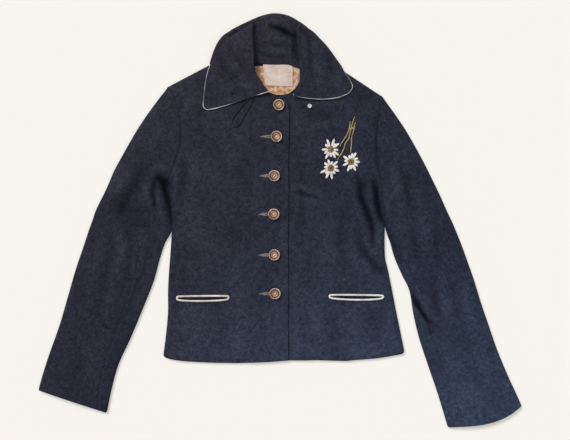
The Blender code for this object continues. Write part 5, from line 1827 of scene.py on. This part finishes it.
# The small pale button that the neck loop goes round.
neckButtonSizes = {
    "place": (54.5, 207),
    "profile": [
        (0.02, 0.1), (2.4, 0.1), (3.4, 0.5), (3.85, 1.1), (3.75, 1.6), (3.3, 1.9), (2.8, 1.85), (2.3, 1.55),
        (1.5, 1.4), (0.02, 1.4),
    ],
    "holes": 0.85,
    "holeRadius": 0.4,
    "holeDepth": 0.7,
    "segments": 40,
    "rings": 40,
    "clear": 0.15,
    "seat": 3,
    "spin": 0.6,
}
mintTones = [(0.5, 0.58, 0.5), (0.66, 0.74, 0.66), (0.82, 0.86, 0.8)]


def makeMint(name, tones):
    _, add, finish = newMaterial(name, tones[1], 0.25, {"Coat Weight": 0.4})
    cloud = noise(add, objectPlace(add), 320, 3, 0.55)
    return finish(ramped(add, cloud, (0.34, 0.5, 0.66), tones), cloud, 0.15, 0.0002)


mint = makeMint("paleGlass", mintTones)
x, y = neckButtonSizes["place"]
smallButton = buttonShape("smallButton", neckButtonSizes, mint)
spot = np.array([[x, y, seatOf("left", x, y, neckButtonSizes["seat"]) + neckButtonSizes["clear"]]])
turns = (np.array([neckButtonSizes["spin"]]), np.zeros(1), np.ones(1))
placeShapes("neckButton", smallButton, mint, spot, *turns, "pale_button", "neck_button")
bpy.data.objects.remove(smallButton)
print("buttons sewn on")

# Hand-worked buttonholes: a pointed slit that the button spreads, with close stitches along both lips.
buttonholeSizes = {
    "points": [-35, -36.6, -38, -38, -37],
    "fromButton": 6,
    "lip": 2.2,
    "opening": 1.05,
    "spacing": 0.62,
    "thread": 0.38,
    "slant": 0.35,
    "rope": 0.3,
    "ropeLift": 0.55,
    "ropeIn": 0.05,
}
greyThread = makeThread("greyTwist", [(0.13, 0.115, 0.115), (0.25, 0.22, 0.215), (0.42, 0.385, 0.37)])
# a near-black tube laid along each slit stands as painted shade in the opening
slitShade = makeThread("slitShade", [(0.004, 0.003, 0.004), (0.008, 0.007, 0.009), (0.016, 0.014, 0.018)])
lipLines, lipWidths, slitLines, slitWidths = [], [], [], []
shake = np.random.RandomState(12)


def onRight(x, y, lift):  # places on the right front
    return np.stack([x, y, onFront("right", x, y) + lift], 1)


for point, (buttonX, buttonY) in zip(buttonholeSizes["points"], buttonSizes["places"][1:]):
    end = buttonX - buttonholeSizes["fromButton"]
    count = int((end - point) / buttonholeSizes["spacing"])
    shares = np.linspace(0, 1, count)
    alongX = mix(point, end, shares)
    opening = 0.12 + buttonholeSizes["opening"] * ease(shares * 0.9) + 0.1 * shares
    lip = buttonholeSizes["lip"] * (0.25 + 0.75 * ease(shares / 0.45))
    centreY = buttonY - 0.4 * (1 - shares)
    for side in (-1, 1):
        rims = centreY + side * opening
        for i in range(count):
            reachOut = lip[i] * (1 + 0.14 * shake.uniform(-1, 1))
            out = np.linspace(-0.15, 1, 5)
            lineX = alongX[i] - buttonholeSizes["slant"] * out + 0.1 * shake.uniform(-1, 1)
            lineY = rims[i] + side * out * reachOut
            lipLines.append(onRight(lineX, lineY, 0.12 + 0.42 * np.sin(math.pi * (0.2 + 0.8 * out))))
            lipWidths.append(buttonholeSizes["thread"] * mm * np.array([0.9, 1, 1, 0.95, 0.4]))
        rope = onRight(alongX, rims, buttonholeSizes["ropeLift"])
        rope[:, 1] -= side * buttonholeSizes["ropeIn"]
        lipLines.append(rope)
        lipWidths.append(buttonholeSizes["rope"] * mm * (1 + 0.3 * np.sin(np.arange(count) * 2.2)))
    slitLines.append(onRight(alongX, centreY, -0.25 * opening))
    slitWidths.append(np.maximum(opening - 0.05, 0.1) * mm)
layThreads("buttonholeTwist", lipLines, lipWidths, 5, greyThread, "white_thread")
layThreads("buttonholeSlits", slitLines, slitWidths, 8, slitShade, "loden")
print("buttonholes worked")
# The posy: each flower's petals are satin stitches laid lengthwise, round an eye of small knots.
posySizes = {
    "petalHalf": 1.85,
    "strands": 7,
    "thread": 0.4,
    "lift": 0.25,
    "shortPetal": 15,
    "shortArch": 0.75,
    "longArch": 1.15,
    "underEye": 1.2,
    "eyeRadius": 6.3,
    "eyeRise": 0.9,
    "knots": 34,
    "knot": 1.25,
    "knotTurn": 2.39996,
    "knotStray": 0.25,
    "knotTip": 0.3,
}
flowers = (
    # the middle, then each petal's angle in degrees and its length from the middle
    (
        (93.1, 128),
        [
            (111, 20), (72, 20.5), (52, 13.8), (36, 19.1), (-5, 13.8), (-36.5, 18.2),
            (-62, 18), (-91, 14.2), (-120, 20), (-149, 14), (182, 16.7), (138, 14),
        ],
    ),
    (
        (93.1, 93.6),
        [
            (108, 16.9), (80, 13.1), (47, 17.8), (16, 13.5), (-19, 16.4), (-54, 12.9),
            (-84, 20.2), (-116, 20.7), (-135, 14.2), (-157, 21.3), (170, 12.7), (139, 16),
        ],
    ),
    (
        (129.9, 105.5),
        [
            (144, 17.7), (107, 12.6), (82, 16), (62, 19.3), (29, 14.4), (-2, 16.4),
            (-33, 14.6), (-63, 18.7), (-91, 14.2), (-110, 19.1), (-155, 16.6), (171, 12.7),
        ],
    ),
)
eyeTones = [
    (0.02, 0.01, 0.005), (0.13, 0.07, 0.02), (0.32, 0.21, 0.05), (0.55, 0.42, 0.14), (0.06, 0.03, 0.01),
    (0.2, 0.12, 0.03),
]
knotProfile = [(0.02, 0), (0.75, 0.05), (1.0, 0.4), (0.92, 0.8), (0.55, 1.0), (0.25, 0.9), (0.02, 0.72)]
whiteTones = [(0.72, 0.64, 0.57), (0.93, 0.9, 0.85), (1, 0.99, 0.97)]
whiteThread = makeThread("whiteThread", whiteTones, 700, 0.5, 0.1)


def makeKnotThread(name, tones):
    _, add, finish = newMaterial(name, tones[1], 0.6)
    place = objectPlace(add)
    cells = add("ShaderNodeTexVoronoi", {"Scale": 430, "Vector": place}).outputs["Color"]
    part = add("ShaderNodeSeparateXYZ", {"Vector": cells}).outputs["X"]
    shown = ramped(add, part, [i / (len(tones) - 1) for i in range(len(tones))], tones, soft=True)
    return finish(shown, noise(add, place, 1500, 2, 0.5), 0.5, 0.0002)


knotThread = makeKnotThread("eyeThread", eyeTones)
oneKnot = linked("oneKnot", turnedMesh("oneKnot", knotProfile, 9, 9, knotThread))
shake = np.random.RandomState(31)


def unevenShare():
    return 0.92 + 0.16 * shake.rand()


def layPetal(centre, degrees, long):  # its strands, side by side, and how thick each is
    angle = math.radians(degrees)
    out, across = np.array([math.cos(angle), math.sin(angle)]), np.array([-math.sin(angle), math.cos(angle)])
    start = posySizes["eyeRadius"] - posySizes["underEye"]
    half = posySizes["petalHalf"] * unevenShare()
    high = posySizes["shortArch" if long < posySizes["shortPetal"] else "longArch"]
    lines, widths = [], []
    for strand in np.linspace(-1, 1, posySizes["strands"]):
        endShare = 1 - 0.1 * strand * strand + 0.02 * shake.uniform(-1, 1)
        shares = np.linspace(0, endShare, 9)
        wide = half * (0.72 + 0.28 * ease(shares / 0.5)) * (1 - np.minimum(1, shares) ** 6) ** 0.5
        plan = centre + out * (start + shares * (long - start))[:, None] + across * (strand * wide)[:, None]
        arch = np.sin(math.pi * (0.12 + 0.84 * shares)) ** 0.8 * math.sqrt(1 - 0.7 * strand * strand)
        lines.append(onto("left", plan, posySizes["lift"] + high * arch))
        thick = posySizes["thread"] * mm * unevenShare()
        widths.append(thick * np.concatenate([[0.8], np.ones(6), [0.9, 0.35]]))
    return lines, widths


for number, (centre, petals) in enumerate(flowers, 1):
    centre = np.array(centre)
    lines, widths = [], []
    for degrees, long in sorted(petals, key=lambda petal: -petal[1]):
        petalLines, petalWidths = layPetal(centre, degrees, long)
        lines += petalLines
        widths += petalWidths
    node = "edelweiss_%d" % number
    layThreads("edelweissPetals%d" % number, lines, widths, 6, whiteThread, "white_thread", node)
    count, eyeRadius = posySizes["knots"], posySizes["eyeRadius"]
    turns = np.arange(count) * posySizes["knotTurn"]
    reach = eyeRadius * np.sqrt((np.arange(count) + 0.5) / count) - 0.3
    knotX = centre[0] + reach * np.cos(turns) + posySizes["knotStray"] * shake.uniform(-1, 1, count)
    knotY = centre[1] + reach * np.sin(turns) + posySizes["knotStray"] * shake.uniform(-1, 1, count)
    rise = 0.1 + posySizes["eyeRise"] * (1 - (reach / 7) ** 2)
    spots = onto("left", np.stack([knotX, knotY], 1), rise)
    tips = posySizes["knotTip"] * shake.uniform(-1, 1, count)
    sizes = posySizes["knot"] * (0.8 + 0.4 * shake.rand(count))
    name = "edelweissEye%d" % number
    placeShapes(name, oneKnot, knotThread, spots, turns, tips, sizes, "stem_thread", node)
bpy.data.objects.remove(oneKnot)
print("flowers embroidered")

# Stems in slanting rope stitches, edged with a paler thread, and tied where they cross.
stemSizes = {
    "paths": [
        [(128, 177.7), (127.3, 168.4), (124.4, 159.3), (119.3, 149.3), (112.5, 139.3), (110, 134.2)],
        [
            (135.8, 186), (132.8, 176.8), (130.4, 166.8), (128, 158.4), (125.2, 146.8), (119.3, 138.4),
            (116, 127.5), (109.3, 115.8), (105, 109),
        ],
        [
            (137.8, 176), (135.2, 168.4), (134.5, 162.6), (131, 149.3), (130.7, 139.3), (129.7, 130.9),
            (129.3, 122.5),
        ],
    ],
    "steps": 60,
    "half": 0.6,
    "waver": 0.1,
    "edge": 0.32,
    "edgeLift": 0.2,
    "ropeLift": 0.35,
    "lift": [0.35, 0.8, 0.5],
    "rope": {"spacing": 1.9, "length": 4, "thickness": 1.15, "slant": 0.28, "seed": 6},
}
oliveThread = makeThread("oliveThread", [(0.2, 0.14, 0.04), (0.46, 0.35, 0.12), (0.72, 0.6, 0.28)])
beigeThread = makeThread("beigeThread", [(0.3, 0.24, 0.14), (0.55, 0.46, 0.28), (0.78, 0.69, 0.48)])
ropeLines, edgeLines, edgeWidths = [], [], []
steps = np.arange(stemSizes["steps"])
taper = np.minimum(1, np.minimum(steps, steps[::-1]) / 7 + 0.15)
for path, lift in zip(stemSizes["paths"], stemSizes["lift"]):
    plan = evenPath(path, len(steps))
    rope = onto("left", plan, 0)
    for side in (-1, 1):
        away = side * (stemSizes["half"] * taper + stemSizes["waver"] * np.sin(steps * 0.9 + side))
        edge = plan + besidePath(plan) * away[:, None]
        edgeLines.append(raised(edge, rope[:, 2] + stemSizes["edgeLift"] + lift * 0.8))
        edgeWidths.append(stemSizes["edge"] * mm * taper)
    rope[:, 2] += stemSizes["ropeLift"] + lift
    ropeLines.append(rope)
laySeam("stemRope", ropeLines, stemSizes["rope"], oliveThread, "stem_thread", "edelweiss_stems")
layThreads("stemEdges", edgeLines, edgeWidths, 6, beigeThread, "stem_thread")
tieSizes = {"ends": (126.6, 137), "start": 164, "passes": 4, "apart": 1.05, "slope": 2.2, "thick": 0.5}
tieLines = []
for step in range(tieSizes["passes"]):
    shares = np.linspace(0, 1, 9)
    tieY = tieSizes["start"] + step * tieSizes["apart"] + tieSizes["slope"] * shares
    plan = np.stack([mix(*tieSizes["ends"], shares), tieY + 0.6 * np.sin(shares * 3 + step)], 1)
    tieLines.append(onto("left", plan, 0.3 + 1.55 * np.sin(math.pi * shares) ** 0.5))
tieWidths = [np.full(len(line), tieSizes["thick"] * mm) for line in tieLines]
layThreads("posyTie", tieLines, tieWidths, 7, oliveThread, "stem_thread")
print("stems laid")

# Seams that show as a row of small stitches.
seamRows = {
    "labelSeam": {"spacing": 3.4, "length": 2.2, "thickness": 0.45, "slant": 0.0, "seed": 9},
    "pocketSeam": {"spacing": 3.2, "length": 2.3, "thickness": 0.5, "slant": 0.0, "seed": 9},
}
labelMiddle = sum(labelCorners) / 4
inner = [mix(labelCorners[i], labelMiddle, 0.05) for i in (0, 3, 2, 1)]  # down, across and up again
labelLine = np.concatenate([np.linspace(inner[i], inner[i + 1], 30) for i in range(3)])
labelLine = raised(labelLine, labelSizes["level"] + labelSizes["wall"] / 2 + 0.2)
laySeam("labelSeam", [labelLine], seamRows["labelSeam"], paleThread, "white_thread")
pocketLines = []
for side in ("right", "left"):
    ring = pocketRing(pockets[side], 3.4, 200)
    pocketLines.append(onto(side, np.concatenate([ring, ring[:1]]), 0.02))
laySeam("pocketSeam", pocketLines, seamRows["pocketSeam"], lodenCord, "loden")
print("seams stitched")

# The pale table below, and the lamps.
floorSizes = {"reach": 3.0, "drop": 0.0003}
floorLook = {"colour": (0.6, 0.59, 0.565), "glow": (1.0, 0.955, 0.875), "strength": 0.42}
floorGlow = {"Emission Color": (*floorLook["glow"], 1), "Emission Strength": floorLook["strength"]}
reach = floorSizes["reach"]
floorCorners = [(x * reach, y * reach, -floorSizes["drop"]) for x, y in ((-1, -1), (1, -1), (1, 1), (-1, 1))]
floorMesh = bpy.data.meshes.new("floor")
floorMesh.from_pydata(floorCorners, [], [(0, 1, 2, 3)])
floorMesh.materials.append(newMaterial("lightTable", floorLook["colour"], 0.95, floorGlow)[0])
linked("floor", floorMesh)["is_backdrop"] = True

lightSizes = {
    "key": {"place": (-1.0, 1.15, 1.45), "spread": 0.5, "strength": 2.35, "colour": (1, 0.985, 0.965)},
    "fill": {"place": (0.9, -1.2, 2.2), "spread": 1.2, "strength": 0.35, "colour": (0.86, 0.92, 1)},
}
skySizes = {"Color": (0.97, 0.98, 1, 1), "Strength": 0.27}
for name, lamp in lightSizes.items():
    data = bpy.data.lights.new(name + "Light", "SUN")  # far softboxes: broad and even
    data.angle = lamp["spread"]
    data.energy = lamp["strength"]
    data.color = lamp["colour"]
    light = linked(name + "Light", data)
    light.location = lamp["place"]
    light.rotation_euler = (-Vector(lamp["place"])).to_track_quat("-Z", "Y").to_euler()
world = bpy.data.worlds.new("studio")
world.use_nodes = True
for socket, value in skySizes.items():
    world.node_tree.nodes["Background"].inputs[socket].default_value = value
bpy.context.scene.world = world
print("lights set")

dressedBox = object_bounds()
sizes = {"cad": [list(corner) for corner in cadBox], "visual": [list(corner) for corner in dressedBox]}
